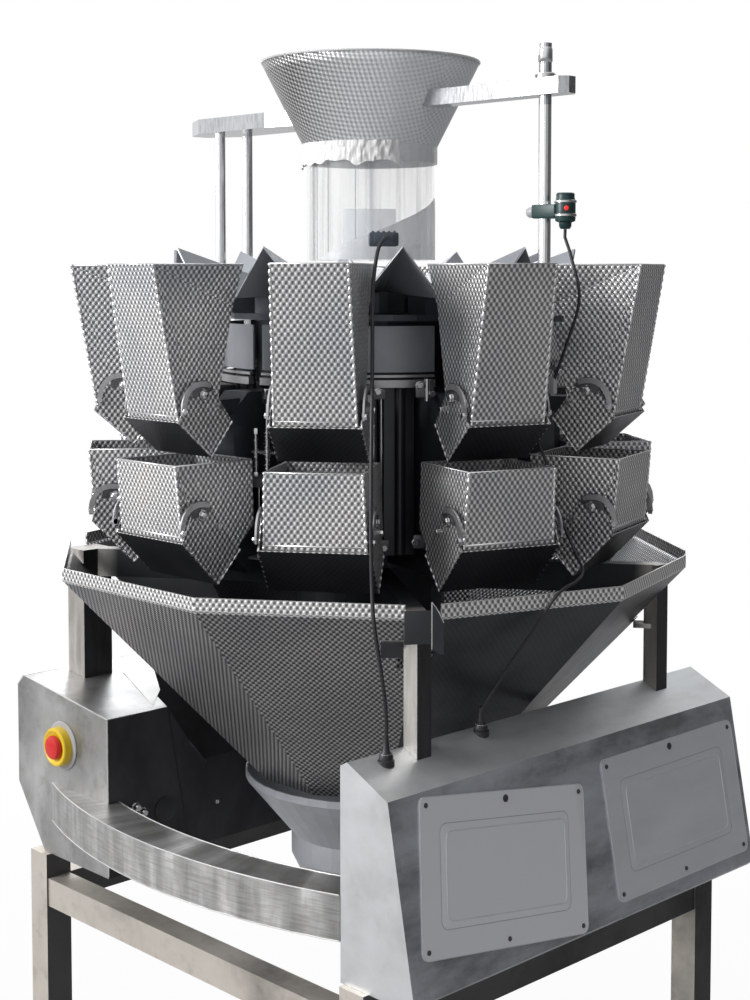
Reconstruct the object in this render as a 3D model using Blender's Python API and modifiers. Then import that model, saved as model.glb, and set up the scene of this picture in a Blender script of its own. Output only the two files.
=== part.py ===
"""Ten-head multihead weigher on its stand, from the floor up.

Metres, +Z up. The origin is on the floor under the machine's axis. Heights are given as drops
below the top edge of the feed hoppers, because every level of the machine hangs from there.
"""

import math

import bmesh
import bpy
from mathutils import Matrix, Vector

# Layout
HOPPER_TOP = 1.55
HEADS = 10
FIRST_HEAD_DEG = -90.0
GAP = 0.0003
SHEET = 0.0025
ROUND_SIDES = 40

# Feed hoppers, in the plane of a head: radius from the machine's axis and drop
FEED_TOP_OUTER_R = 0.512
FEED_TOP_INNER_R = 0.346
FEED_WALL_DROP = 0.240
FEED_BOTTOM_OUTER_R = 0.470
FEED_TIP_R = 0.411
FEED_TIP_DROP = 0.292
FEED_MOUTH_DROP = 0.065
FEED_TOP_WIDTH = 0.116
FEED_BOTTOM_WIDTH = 0.125
FEED_FLARE = 0.012
FEED_PIVOT_R = 0.427
FEED_PIVOT_DROP = 0.201

# Weigh hoppers
WEIGH_TOP_DROP = 0.308
WEIGH_TOP_OUTER_R = 0.485
WEIGH_INNER_R = 0.335
WEIGH_WALL_DROP = 0.425
WEIGH_BOTTOM_OUTER_R = 0.475
WEIGH_TIP_R = 0.412
WEIGH_TIP_DROP = 0.490
WEIGH_BACK_DROP = 0.410
WEIGH_TOP_WIDTH = 0.148
WEIGH_BOTTOM_WIDTH = 0.155
WEIGH_PIVOT_R = 0.443
WEIGH_PIVOT_DROP = 0.385

# Gates
GATE_SHEET = 0.002
GATE_SIDE_CLEARANCE = 0.005
GATE_SEAT = 0.003
GATE_LIP = 0.004
GATE_EAR = 0.014
GATE_BACK_REACH = 0.066
PIN_RADIUS = 0.004
PIN_HOLE_CLEARANCE = 0.0008
PIN_END = 0.006
PIN_SIDES = 12

# Centre body: dispersion cone, disc, drum and column
CONE_RADIUS = 0.165
CONE_RIM_DROP = 0.030
CONE_HEIGHT = 0.030
CONE_EDGE = 0.003
CONE_NECK_RADIUS = 0.100
DISC_RADIUS = 0.255
DISC_DROP = 0.080
DISC_THICKNESS = 0.010
DRUM_RADIUS = 0.200
DRUM_HEIGHT = 0.110
FLANGE_RADIUS = 0.212
FLANGE_THICKNESS = 0.022
COLUMN_RADIUS = 0.130
HUB_SHARE = 0.8

# Drive modules that carry the hoppers
MODULE_HALF_WIDTH = 0.030
MODULE_TOP_DROP = 0.205
MODULE_ARM_CLEARANCE = 0.010
MODULE_CHAMFER = 0.030
HANGER_TOP_DROP = 0.215
HANGER_HEIGHT = 0.025
HANGER_HALF_WIDTH = 0.022

# Feeder pans
PAN_INNER_R = 0.150
PAN_END_R = 0.341
PAN_TONGUE_R = 0.362
PAN_RIDGE_R = 0.355
PAN_INNER_DROP = 0.046
PAN_END_DROP = 0.052
PAN_RIDGE_INNER_DROP = 0.042
PAN_RIDGE_RISE = 0.027
PAN_INNER_HALF_WIDTH = 0.030
PAN_HALF_WIDTH = 0.045
VIBRATOR_RADIUS = 0.215
VIBRATOR_LENGTH = 0.060
VIBRATOR_WIDTH = 0.044

# Leg frame: hub under the column, arms, legs, and the tabs that carry the chute
LEG_ANGLE_DEG = 36.0
LEFT_LEG = {"x": 0.420, "size_x": 0.050, "size_y": 0.060, "slot_half_width": 0.042}
RIGHT_LEG = {"x": 0.402, "size_x": 0.028, "size_y": 0.030, "slot_half_width": 0.026}
ARM_DROP = 0.510
ARM_HEIGHT = 0.050
ARM_WIDTH = 0.028
HUB_DEPTH = 0.090
TAB_DROP = 0.612
TAB_THICKNESS = 0.008
TAB_WIDTH = 0.026

# Infeed funnel and clear tube
FUNNEL_RIM_R = 0.190
FUNNEL_RIM_RISE = 0.350
FUNNEL_NECK_RISE = 0.205
COLLAR_END_RISE = 0.175
TUBE_RADIUS = 0.111
TUBE_WALL = 0.004
TUBE_TOP_RISE = 0.195
TUBE_END_RISE = 0.008
FUNNEL_SHEET = 0.0025

# Brackets of the funnel
ROD_RADIUS = 0.010
LEFT_ROD_R = 0.3735
LEFT_ROD_HALF_SPACING = 0.033
LEFT_ARM_BOTTOM_RISE = 0.250
LEFT_ARM_HEIGHT = 0.027
LEFT_ARM_END_R = 0.477
LEFT_ARM_HALF_WIDTH = 0.052
LEFT_ARM_NECK_SHARE = 0.6
LEFT_ARM_POINT_START_SHARE = 0.8
LEFT_ARM_POINT_SHARE = 0.35
RIGHT_ROD_R = 0.394
RIGHT_ROD_TOP_RISE = 0.345
RIGHT_BAR_BOTTOM_RISE = 0.264
RIGHT_BAR_HEIGHT = 0.026
RIGHT_BAR_END_R = 0.448
RIGHT_BAR_HALF_WIDTH = 0.020
RIGHT_BAR_POINT_START_SHARE = 0.6
RIGHT_BAR_POINT_SHARE = 0.4
ROD_SHELF_THICKNESS = 0.010
LEFT_SHELF_HALF_WIDTH = 0.045
RIGHT_SHELF_HALF_WIDTH = 0.022
SHELF_MARGIN = 0.012

# Level sensor
SENSOR_RISE = 0.083
SENSOR_CLAMP_SIZE = 0.030
SENSOR_CLAMP_HEIGHT = 0.022
SENSOR_RADIUS = 0.016
SENSOR_LENGTH = 0.056
SENSOR_R = 0.436
SENSOR_KNOB_RADIUS = 0.009
SENSOR_KNOB_BITE_SHARE = 0.8
SENSOR_KNOB_LENGTH = 0.018

# Collecting chute, measured at the corners of its ten sides
CHUTE_RIM_R = 0.555
CHUTE_LIP_DROP = 0.490
CHUTE_HEM_DROP = 0.510
CHUTE_END_R = 0.201
CHUTE_END_DROP = 0.885
CHUTE_SHEET = 0.0025
SLOT_END_DROP = 0.603
SLOT_CUT_MARGIN = 0.050

# Discharge funnel
RING_RADIUS = 0.222
RING_TOP_DROP = 0.885
RING_DEPTH = 0.012
DISCHARGE_NECK_R = 0.141
DISCHARGE_NECK_DROP = 0.995
DISCHARGE_COLLAR_DROP = 1.036
DISCHARGE_END_R = 0.110
DISCHARGE_END_DROP = 1.100
DISCHARGE_WALL = 0.003
LUG_HALF_WIDTH = 0.020
LUG_DEPTH = 0.012

# Control boxes: outlines across the machine, lengths along it
BOX_HALF_LENGTH = 0.420
BOX_END_DROP = 1.040
RIGHT_WALL_X = 0.372
RIGHT_PEAK_X = 0.386
RIGHT_PEAK_DROP = 0.7126
RIGHT_WALL_TOP_DROP = 0.720
RIGHT_FOLD_X = 0.469
RIGHT_FOLD_DROP = 0.752
RIGHT_FRONT_X = 0.5215
RIGHT_FRONT_DROP = 1.030
RIGHT_TOE_X = 0.510
LEFT_WALL_X = 0.205
LEFT_WALL_TOP_DROP = 0.766
LEFT_OUTER_X = 0.482
LEFT_OUTER_TOP_DROP = 0.734
LEFT_TOP_BEVEL = 0.020
LEFT_CHAMFER_DROP = 0.930
LEFT_TOE_X = 0.400
RECESS_X = 0.235
RECESS_HALF_LENGTH = 0.200
RECESS_MOUTH_HALF_LENGTH = 0.225
RECESS_FOLD_DROP = 0.885
RECESS_TOP_DROP = 0.720
RECESS_TOP_X = 0.390
RECESS_TOP_HALF_LENGTH = 0.250
RECESS_TOP_MOUTH_HALF_LENGTH = 0.368
GLAND_RADIUS = 0.009
DROP_GLAND = (0.405, -0.360)
SENSOR_GLAND = (0.400, -0.150)
GLAND_HEIGHT = 0.014

# Cover plates on the right box
COVER_LENGTH = 0.360
COVER_HEIGHT = 0.225
COVER_THICKNESS = 0.004
COVER_CORNER = 0.012
COVER_RAISED = 0.002
COVER_PANEL_MARGIN = 0.040
COVER_SLOPE = 0.010
COVER_DROP = 0.8975
RIGHT_COVER_Y = 0.225
LEFT_COVER_Y = -0.200
LEFT_COVER_TURN_DEG = 8.75
LEFT_COVER_LIFT = 0.004

# Stop button on the end of the left box
STOP_X = -0.339
STOP_DROP = 0.837
STOP_BEZEL_R = 0.043
STOP_BEZEL_THICKNESS = 0.003
STOP_RING_R = 0.031
STOP_RING_THICKNESS = 0.008
STOP_NECK_R = 0.012
STOP_BUTTON_R = 0.021
STOP_BUTTON_START = 0.018
STOP_FACE_SHARE = 0.7
STOP_ROUNDING_SHARE = 0.4
STOP_RING_TOP_SHARE = 0.9
STOP_BUTTON_LENGTH = 0.012

# Arc tubes between the boxes
ARC_SEAT_Y = 0.4212
ARC_OUTER_R = 1.041
ARC_WIDTH = 0.070
ARC_TOP_DROP = 0.911
ARC_HEIGHT = 0.068
ARC_STEPS = 20

# Stand
STAND_HALF_SIDE = 0.405
STAND_TUBE = 0.050
BEAM_DROP = 1.083
BEAM_HEIGHT = 0.050
BEAM_WIDTH = 0.044

# Cables: route points are (x, y, drop)
DROP_CABLE_RADIUS = 0.003
SENSOR_CABLE_RADIUS = 0.0025
CONNECTOR_ANGLE_DEG = -40.5
CONNECTOR_R = 0.334
CONNECTOR_SIZE = (0.028, 0.046, 0.026)


def level(drop):
    """Height over the floor of a drop below the hopper tops."""
    return HOPPER_TOP - drop


def head_angle(number):
    return math.radians(FIRST_HEAD_DEG + 360.0 / HEADS * number)


def line_at(x0, y0, x1, y1, x):
    """The value at x of the straight line through two points."""
    return y0 + (y1 - y0) * (x - x0) / (x1 - x0)


def make_material(name, colour, roughness, metallic, alpha=1.0):
    material = bpy.data.materials.new(name)
    material.use_nodes = True
    shader = material.node_tree.nodes["Principled BSDF"]
    shader.inputs["Base Color"].default_value = (*colour, 1.0)
    shader.inputs["Roughness"].default_value = roughness
    shader.inputs["Metallic"].default_value = metallic
    shader.inputs["Alpha"].default_value = alpha
    material.diffuse_color = (*colour, alpha)
    return material


def clear_scene():
    for item in list(bpy.data.objects):
        bpy.data.objects.remove(item, do_unlink=True)
    for block in (bpy.data.meshes, bpy.data.curves, bpy.data.materials, bpy.data.collections):
        for item in list(block):
            block.remove(item)


def make_collection(name):
    collection = bpy.data.collections.new(name)
    bpy.context.scene.collection.children.link(collection)
    return collection


clear_scene()
PARTS = make_collection("multihead_weigher")
CUTTERS = make_collection("cutters")

DIMPLED = make_material("dimpled_steel", (0.48, 0.48, 0.49), 0.32, 1.0)
BRUSHED = make_material("brushed_steel", (0.62, 0.61, 0.59), 0.38, 1.0)
DARK = make_material("dark_steel", (0.06, 0.065, 0.07), 0.5, 0.6)
CHROME = make_material("chrome", (0.80, 0.80, 0.82), 0.12, 1.0)
CLEAR = make_material("clear_plastic", (0.86, 0.88, 0.88), 0.08, 0.0, 0.35)
STOP = make_material("stop_plastic", (0.72, 0.05, 0.04), 0.35, 0.0)
SENSOR = make_material("sensor_green", (0.03, 0.13, 0.12), 0.45, 0.0)
CABLE = make_material("cable_black", (0.02, 0.02, 0.024), 0.5, 0.0)


def to_mesh(name, bm):
    """Finish a bmesh as closed, outward-facing mesh data."""
    bmesh.ops.remove_doubles(bm, verts=bm.verts, dist=0.00001)
    bmesh.ops.recalc_face_normals(bm, faces=bm.faces)
    if bm.calc_volume(signed=True) < 0:
        bmesh.ops.reverse_faces(bm, faces=bm.faces)
    mesh = bpy.data.meshes.new(name)
    bm.to_mesh(mesh)
    bm.free()
    return mesh


def add_object(name, mesh, material, collection=None):
    item = bpy.data.objects.new(name, mesh)
    (collection or PARTS).objects.link(item)
    if material and not mesh.materials:
        mesh.materials.append(material)
    return item


def hide_cutter(item):
    item.hide_render = True
    item.display_type = "WIRE"
    return item


def evaluated_mesh(item):
    """The object's mesh with its modifiers, in its own space."""
    bpy.context.view_layer.update()
    graph = bpy.context.evaluated_depsgraph_get()
    return bpy.data.meshes.new_from_object(item.evaluated_get(graph), depsgraph=graph)


def bake(item):
    """Replace the object's mesh by its evaluated one and drop its modifiers."""
    mesh = evaluated_mesh(item)
    item.modifiers.clear()
    item.data = mesh
    return item


def combine(base, tools, operation):
    """Join or cut the base with each tool in turn, then remove the tools."""
    for tool in tools:
        hide_cutter(tool)
        modifier = base.modifiers.new(operation.lower(), "BOOLEAN")
        modifier.operation = operation
        modifier.object = tool
        modifier.solver = "EXACT"
        bake(base)
    for tool in tools:
        bpy.data.objects.remove(tool, do_unlink=True)
    return base


def smooth(item, degrees=35.0):
    item.data.shade_smooth()
    item.data.set_sharp_from_angle(angle=math.radians(degrees))
    return item


def block(name, low, high, material=None, collection=None):
    """A box between two opposite corners."""
    bm = bmesh.new()
    bmesh.ops.create_cube(bm, size=1.0)
    size = Vector(high) - Vector(low)
    middle = (Vector(high) + Vector(low)) / 2
    bmesh.ops.scale(bm, vec=size, verts=bm.verts)
    bmesh.ops.translate(bm, vec=middle, verts=bm.verts)
    return add_object(name, to_mesh(name, bm), material, collection)


def cylinder(name, start, end, radius, material=None, sides=16, collection=None, end_radius=None):
    """A cylinder or cone frustum between two points."""
    start, end = Vector(start), Vector(end)
    bm = bmesh.new()
    bmesh.ops.create_cone(
        bm, cap_ends=True, segments=sides, radius1=radius,
        radius2=radius if end_radius is None else end_radius, depth=(end - start).length,
    )
    turn = Vector((0, 0, 1)).rotation_difference(end - start).to_matrix().to_4x4()
    bmesh.ops.transform(bm, matrix=Matrix.Translation((start + end) / 2) @ turn, verts=bm.verts)
    return add_object(name, to_mesh(name, bm), material, collection)


def slab(name, outline, low, high, plane, material=None, collection=None):
    """A flat outline given in a plane ("xy", "xz" or "yz"), extruded from low to high."""
    place = {
        "xy": lambda a, b, c: (a, b, c),
        "xz": lambda a, b, c: (a, c, b),
        "yz": lambda a, b, c: (c, a, b),
    }[plane]
    bm = bmesh.new()
    face = bm.faces.new([bm.verts.new(place(a, b, low)) for a, b in outline])
    grown = bmesh.ops.extrude_face_region(bm, geom=[face])
    moved = [v for v in grown["geom"] if isinstance(v, bmesh.types.BMVert)]
    bmesh.ops.translate(bm, vec=Vector(place(0, 0, high - low)), verts=moved)
    return add_object(name, to_mesh(name, bm), material, collection)


def loft(name, rings, material=None, collection=None):
    """A closed solid through rings of as many points each."""
    bm = bmesh.new()
    rows = [[bm.verts.new(p) for p in ring] for ring in rings]
    bm.faces.new(rows[0])
    bm.faces.new(rows[-1])
    for lower, upper in zip(rows, rows[1:]):
        for i in range(len(lower)):
            j = (i + 1) % len(lower)
            bm.faces.new((lower[i], lower[j], upper[j], upper[i]))
    return add_object(name, to_mesh(name, bm), material, collection)


def turned(name, profile, material=None, sides=ROUND_SIDES, closed=False, collection=None):
    """A profile of (radius, height) points turned about Z with a Screw modifier."""
    mesh = bpy.data.meshes.new(name)
    edges = [(i, i + 1) for i in range(len(profile) - 1)]
    if closed:
        edges.append((len(profile) - 1, 0))
    mesh.from_pydata([(r, 0.0, z) for r, z in profile], edges, [])
    item = add_object(name, mesh, None, collection)
    screw = item.modifiers.new("turn", "SCREW")
    screw.axis = "Z"
    screw.steps = sides
    screw.render_steps = sides
    screw.use_merge_vertices = True
    screw.merge_threshold = 0.0001
    bake(item)
    bm = bmesh.new()
    bm.from_mesh(item.data)
    item.data = to_mesh(name, bm)
    if material:
        item.data.materials.append(material)
    return item


def shell(name, corners, faces, thickness, offset, collection=CUTTERS):
    """A folded sheet: an open surface through named corners, thickened by Solidify."""
    names = list(corners)
    mesh = bpy.data.meshes.new(name)
    mesh.from_pydata(
        [corners[n] for n in names], [], [[names.index(n) for n in face] for face in faces]
    )
    bm = bmesh.new()
    bm.from_mesh(mesh)
    bmesh.ops.recalc_face_normals(bm, faces=bm.faces)
    bm.to_mesh(mesh)
    bm.free()
    item = add_object(name, mesh, None, collection)
    solid = item.modifiers.new("thickness", "SOLIDIFY")
    solid.thickness = thickness
    solid.offset = offset
    solid.use_even_offset = True
    return bake(item)


# Hoppers and gates, drawn in the plane of one head: +X outward, Y across, Z up


def hopper_half_width(drop, top_drop, wall_drop, top_width, bottom_width):
    share = min(max((drop - top_drop) / (wall_drop - top_drop), 0.0), 1.0)
    return (top_width + (bottom_width - top_width) * share) / 2


def feed_half_width(drop):
    return hopper_half_width(drop, 0.0, FEED_WALL_DROP, FEED_TOP_WIDTH, FEED_BOTTOM_WIDTH)


def weigh_half_width(drop):
    return hopper_half_width(
        drop, WEIGH_TOP_DROP, WEIGH_WALL_DROP, WEIGH_TOP_WIDTH, WEIGH_BOTTOM_WIDTH
    )


def two_sided(points):
    """Corners on both sides of a head from {name: (radius, half width, drop)}."""
    corners = {}
    for name, (radius, half, drop) in points.items():
        corners[name + "-"] = (radius, -half, level(drop))
        corners[name + "+"] = (radius, half, level(drop))
    return corners


def hinge_pins(pivot_r, pivot_drop, wall_half, cheek_half):
    """The two pins that a gate turns on, out of the hopper's side walls."""
    pins = []
    for side in (-1, 1):
        start = (pivot_r, side * (wall_half - SHEET / 2), level(pivot_drop))
        end = (pivot_r, side * (cheek_half + GATE_SHEET + PIN_END), level(pivot_drop))
        pins.append(cylinder("pin", start, end, PIN_RADIUS, sides=PIN_SIDES, collection=CUTTERS))
    return pins


def feed_hopper_mesh():
    mouth_r = line_at(0.0, FEED_TOP_INNER_R, FEED_TIP_DROP, FEED_TIP_R, FEED_MOUTH_DROP)
    corners = two_sided({
        "top": (FEED_TOP_OUTER_R, feed_half_width(0.0), 0.0),
        "wall": (FEED_BOTTOM_OUTER_R, feed_half_width(FEED_WALL_DROP), FEED_WALL_DROP),
        "tip": (FEED_TIP_R, feed_half_width(FEED_TIP_DROP), FEED_TIP_DROP),
        "mouth": (mouth_r, feed_half_width(FEED_MOUTH_DROP), FEED_MOUTH_DROP),
        "flare": (FEED_TOP_INNER_R, feed_half_width(0.0) + FEED_FLARE, 0.0),
    })
    faces = [("top-", "top+", "wall+", "wall-"), ("mouth-", "mouth+", "tip+", "tip-")]
    for s in "-+":
        faces.append(("top" + s, "wall" + s, "tip" + s))
        faces.append(("top" + s, "tip" + s, "mouth" + s))
        faces.append(("top" + s, "mouth" + s, "flare" + s))
    item = shell("feed_hopper_shape", corners, faces, SHEET, 0.0)
    pins = hinge_pins(
        FEED_PIVOT_R, FEED_PIVOT_DROP, feed_half_width(FEED_PIVOT_DROP), feed_cheek_half()
    )
    return finished(combine(item, pins, "UNION"), DIMPLED)


def weigh_hopper_mesh():
    corners = two_sided({
        "top": (WEIGH_TOP_OUTER_R, weigh_half_width(WEIGH_TOP_DROP), WEIGH_TOP_DROP),
        "wall": (WEIGH_BOTTOM_OUTER_R, weigh_half_width(WEIGH_WALL_DROP), WEIGH_WALL_DROP),
        "tip": (WEIGH_TIP_R, weigh_half_width(WEIGH_TIP_DROP), WEIGH_TIP_DROP),
        "back": (WEIGH_INNER_R, weigh_half_width(WEIGH_BACK_DROP), WEIGH_BACK_DROP),
        "rear": (WEIGH_INNER_R, weigh_half_width(WEIGH_TOP_DROP), WEIGH_TOP_DROP),
    })
    faces = [
        ("top-", "top+", "wall+", "wall-"),
        ("back-", "back+", "tip+", "tip-"),
        ("rear-", "rear+", "back+", "back-"),
    ]
    for s in "-+":
        faces.append(("top" + s, "wall" + s, "tip" + s))
        faces.append(("top" + s, "tip" + s, "back" + s))
        faces.append(("top" + s, "back" + s, "rear" + s))
    item = shell("weigh_hopper_shape", corners, faces, SHEET, 0.0)
    pins = hinge_pins(
        WEIGH_PIVOT_R, WEIGH_PIVOT_DROP, weigh_half_width(WEIGH_PIVOT_DROP), weigh_cheek_half()
    )
    return finished(combine(item, pins, "UNION"), DIMPLED)


def feed_cheek_half():
    return FEED_BOTTOM_WIDTH / 2 + SHEET / 2 + GATE_SIDE_CLEARANCE


def weigh_cheek_half():
    return WEIGH_BOTTOM_WIDTH / 2 + SHEET / 2 + GATE_SIDE_CLEARANCE


def finished(item, material):
    """Take the mesh of a shape and remove the shape."""
    mesh = item.data
    mesh.materials.clear()
    mesh.materials.append(material)
    bpy.data.objects.remove(item, do_unlink=True)
    return mesh


def gate_mesh(wall, tip, pivot, cheek_half, name):
    """A gate's closing panel and two cheeks, with its origin on the pivot.

    wall and tip are the two bottom edges of the hopper that the panel closes.
    """
    wall, tip, pivot = (Vector((r, -drop)) for r, drop in (wall, tip, pivot))
    along = (tip - wall).normalized()
    out = Vector((-along.y, along.x))
    seat = GATE_SEAT + SHEET / 2
    outer_edge = wall + out * seat - along * GATE_LIP - pivot
    inner_edge = tip + out * seat + along * GATE_LIP - pivot
    back = inner_edge - out * GATE_BACK_REACH - along * GATE_LIP
    ear = Vector((0.0, GATE_EAR))
    profile = {
        "outer": outer_edge,
        "inner": inner_edge,
        "back": back,
        "ear_in": ear - Vector((GATE_EAR, 0.0)),
        "ear_out": ear + Vector((GATE_EAR, 0.0)),
    }
    corners = {}
    for key, point in profile.items():
        corners[key + "-"] = (point.x, -cheek_half, point.y)
        corners[key + "+"] = (point.x, cheek_half, point.y)
    faces = [("outer-", "outer+", "inner+", "inner-")]
    for s in "-+":
        faces.append(tuple(key + s for key in ("outer", "inner", "back", "ear_in", "ear_out")))
    item = shell(name, corners, faces, GATE_SHEET, 1.0)
    reach = cheek_half + GATE_SHEET + PIN_END
    hole = cylinder(
        "hole", (0, -reach, 0), (0, reach, 0), PIN_RADIUS + PIN_HOLE_CLEARANCE,
        sides=PIN_SIDES, collection=CUTTERS,
    )
    return finished(combine(item, [hole], "DIFFERENCE"), DIMPLED)


def feed_gate_mesh():
    return gate_mesh(
        (FEED_BOTTOM_OUTER_R, FEED_WALL_DROP), (FEED_TIP_R, FEED_TIP_DROP),
        (FEED_PIVOT_R, FEED_PIVOT_DROP), feed_cheek_half(), "feed_gate_shape",
    )


def weigh_gate_mesh():
    return gate_mesh(
        (WEIGH_BOTTOM_OUTER_R, WEIGH_WALL_DROP), (WEIGH_TIP_R, WEIGH_TIP_DROP),
        (WEIGH_PIVOT_R, WEIGH_PIVOT_DROP), weigh_cheek_half(), "weigh_gate_shape",
    )


def place_head(name, mesh, number, radius=0.0, drop=None):
    """Put a head's piece at its angle, with its origin on the axis or on its pivot."""
    angle = head_angle(number)
    item = add_object(name, mesh, None)
    item.rotation_euler.z = angle
    if drop is not None:
        item.location = (radius * math.cos(angle), radius * math.sin(angle), level(drop))
    return item


def make_heads():
    feed = feed_hopper_mesh()
    weigh = weigh_hopper_mesh()
    feed_gate = feed_gate_mesh()
    weigh_gate = weigh_gate_mesh()
    for number in range(HEADS):
        tag = f"{number + 1:02d}"
        place_head("feed_hopper_" + tag, feed, number)
        place_head("weigh_hopper_" + tag, weigh, number)
        place_head("feed_gate_" + tag, feed_gate, number, FEED_PIVOT_R, FEED_PIVOT_DROP)
        place_head("weigh_gate_" + tag, weigh_gate, number, WEIGH_PIVOT_R, WEIGH_PIVOT_DROP)


# Centre body


def turn_about_axis(item, angle):
    """Turn a piece drawn along +X to its angle, in its mesh."""
    item.data.transform(Matrix.Rotation(angle, 4, "Z"))
    return item


def drive_module(angle):
    """The upright housing behind one head, with the hanger that holds its feed hopper."""
    face_r = WEIGH_INNER_R - SHEET / 2 - GAP
    inside = COLUMN_RADIUS * HUB_SHARE
    end_drop = ARM_DROP - MODULE_ARM_CLEARANCE
    outline = [
        (inside, level(MODULE_TOP_DROP)),
        (face_r - MODULE_CHAMFER, level(MODULE_TOP_DROP)),
        (face_r, level(MODULE_TOP_DROP + MODULE_CHAMFER)),
        (face_r, level(end_drop - MODULE_CHAMFER)),
        (face_r - MODULE_CHAMFER, level(end_drop)),
        (inside, level(end_drop)),
    ]
    return turn_about_axis(
        slab("module", outline, -MODULE_HALF_WIDTH, MODULE_HALF_WIDTH, "xz", None, CUTTERS), angle
    )


def feed_hanger(angle):
    """The block that reaches out from a drive module to the feed hopper's sloping back."""
    slope = math.atan2(FEED_TIP_R - FEED_TOP_INNER_R, FEED_TIP_DROP)
    offset = (SHEET / 2 + GAP) / math.cos(slope)
    bottom_drop = HANGER_TOP_DROP + HANGER_HEIGHT

    def back_r(drop):
        return line_at(0.0, FEED_TOP_INNER_R, FEED_TIP_DROP, FEED_TIP_R, drop) - offset

    outline = [
        (COLUMN_RADIUS, level(HANGER_TOP_DROP)),
        (back_r(HANGER_TOP_DROP), level(HANGER_TOP_DROP)),
        (back_r(bottom_drop), level(bottom_drop)),
        (COLUMN_RADIUS, level(bottom_drop)),
    ]
    return turn_about_axis(
        slab("hanger", outline, -HANGER_HALF_WIDTH, HANGER_HALF_WIDTH, "xz", None, CUTTERS), angle
    )


def pan_floor_drop(radius):
    return line_at(PAN_INNER_R, PAN_INNER_DROP, PAN_END_R, PAN_END_DROP, radius)


def vibrator(angle):
    """The drive on the disc that carries one feeder pan, up to the pan's sloping floor."""
    low_r = VIBRATOR_RADIUS - VIBRATOR_LENGTH / 2
    high_r = VIBRATOR_RADIUS + VIBRATOR_LENGTH / 2
    seat = SHEET / 2 + GAP
    outline = [
        (low_r, level(DISC_DROP + DISC_THICKNESS / 2)),
        (high_r, level(DISC_DROP + DISC_THICKNESS / 2)),
        (high_r, level(pan_floor_drop(high_r) + seat)),
        (low_r, level(pan_floor_drop(low_r) + seat)),
    ]
    half = VIBRATOR_WIDTH / 2
    return turn_about_axis(slab("vibrator", outline, -half, half, "xz", None, CUTTERS), angle)


def box_top_drop(x):
    """Drop of a control box's top at x: the right box's slope or the left box's."""
    if x > 0:
        return line_at(RIGHT_PEAK_X, RIGHT_PEAK_DROP, RIGHT_FOLD_X, RIGHT_FOLD_DROP, x)
    inner_x, outer_x = -LEFT_WALL_X, LEFT_TOP_BEVEL - LEFT_OUTER_X
    return line_at(inner_x, LEFT_WALL_TOP_DROP, outer_x, LEFT_OUTER_TOP_DROP, x)


def leg_of(side_x):
    return RIGHT_LEG if side_x > 0 else LEFT_LEG


def leg_angle(side_x, side_y):
    step = math.radians(LEG_ANGLE_DEG)
    return side_y * (step if side_x > 0 else math.pi - step)


def leg_radius(side_x):
    return leg_of(side_x)["x"] / math.cos(math.radians(LEG_ANGLE_DEG))


def leg(side_x, side_y):
    """One leg, cut at its foot to the slope of the box that it stands on."""
    sizes = leg_of(side_x)
    x = side_x * sizes["x"]
    y = side_y * sizes["x"] * math.tan(math.radians(LEG_ANGLE_DEG))
    xs = [x - sizes["size_x"] / 2, x + sizes["size_x"] / 2]
    ys = [y - sizes["size_y"] / 2, y + sizes["size_y"] / 2]
    plan = [(xs[0], ys[0]), (xs[1], ys[0]), (xs[1], ys[1]), (xs[0], ys[1])]
    foot = [(px, py, level(box_top_drop(px)) + GAP) for px, py in plan]
    head = [(px, py, level(ARM_DROP)) for px, py in plan]
    return loft("leg", [foot, head], None, CUTTERS)


def leg_arm(side_x, side_y):
    low = (COLUMN_RADIUS * HUB_SHARE, -ARM_WIDTH / 2, level(ARM_DROP + ARM_HEIGHT))
    high = (leg_radius(side_x), ARM_WIDTH / 2, level(ARM_DROP))
    return turn_about_axis(block("arm", low, high, None, CUTTERS), leg_angle(side_x, side_y))


def chute_corner_r(drop):
    """Radius of the chute's corners at a drop on its cone."""
    return line_at(CHUTE_HEM_DROP, CHUTE_RIM_R, CHUTE_END_DROP, CHUTE_END_R, drop)


def chute_tab(side_x, side_y):
    """The tab on a leg that the chute's corner rests on."""
    low = (chute_corner_r(TAB_DROP) + GAP, -TAB_WIDTH / 2, level(TAB_DROP + TAB_THICKNESS))
    high = (leg_radius(side_x), TAB_WIDTH / 2, level(TAB_DROP))
    return turn_about_axis(block("tab", low, high, None, CUTTERS), leg_angle(side_x, side_y))


def make_leg_frame():
    """The hub that the column stands on, with an arm, a leg and a tab at each corner."""
    profile = [
        (0.0, ARM_DROP), (COLUMN_RADIUS, ARM_DROP),
        (COLUMN_RADIUS, ARM_DROP + HUB_DEPTH), (0.0, ARM_DROP + HUB_DEPTH),
    ]
    hub = turned("leg_frame", [(r, level(drop)) for r, drop in profile], BRUSHED)
    pieces = []
    for side_x in (-1, 1):
        for side_y in (-1, 1):
            pieces.append(leg_arm(side_x, side_y))
            pieces.append(leg(side_x, side_y))
            pieces.append(chute_tab(side_x, side_y))
    return smooth(combine(hub, pieces, "UNION"), 30.0)


def rod_shelf(angle, rod_r, half_width):
    """The bar out of the disc that the rods of a bracket stand on."""
    low = (DISC_RADIUS * HUB_SHARE, -half_width, level(DISC_DROP + ROD_SHELF_THICKNESS))
    high = (rod_r + ROD_RADIUS + SHELF_MARGIN, half_width, level(DISC_DROP))
    return turn_about_axis(block("shelf", low, high, None, CUTTERS), angle)


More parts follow.
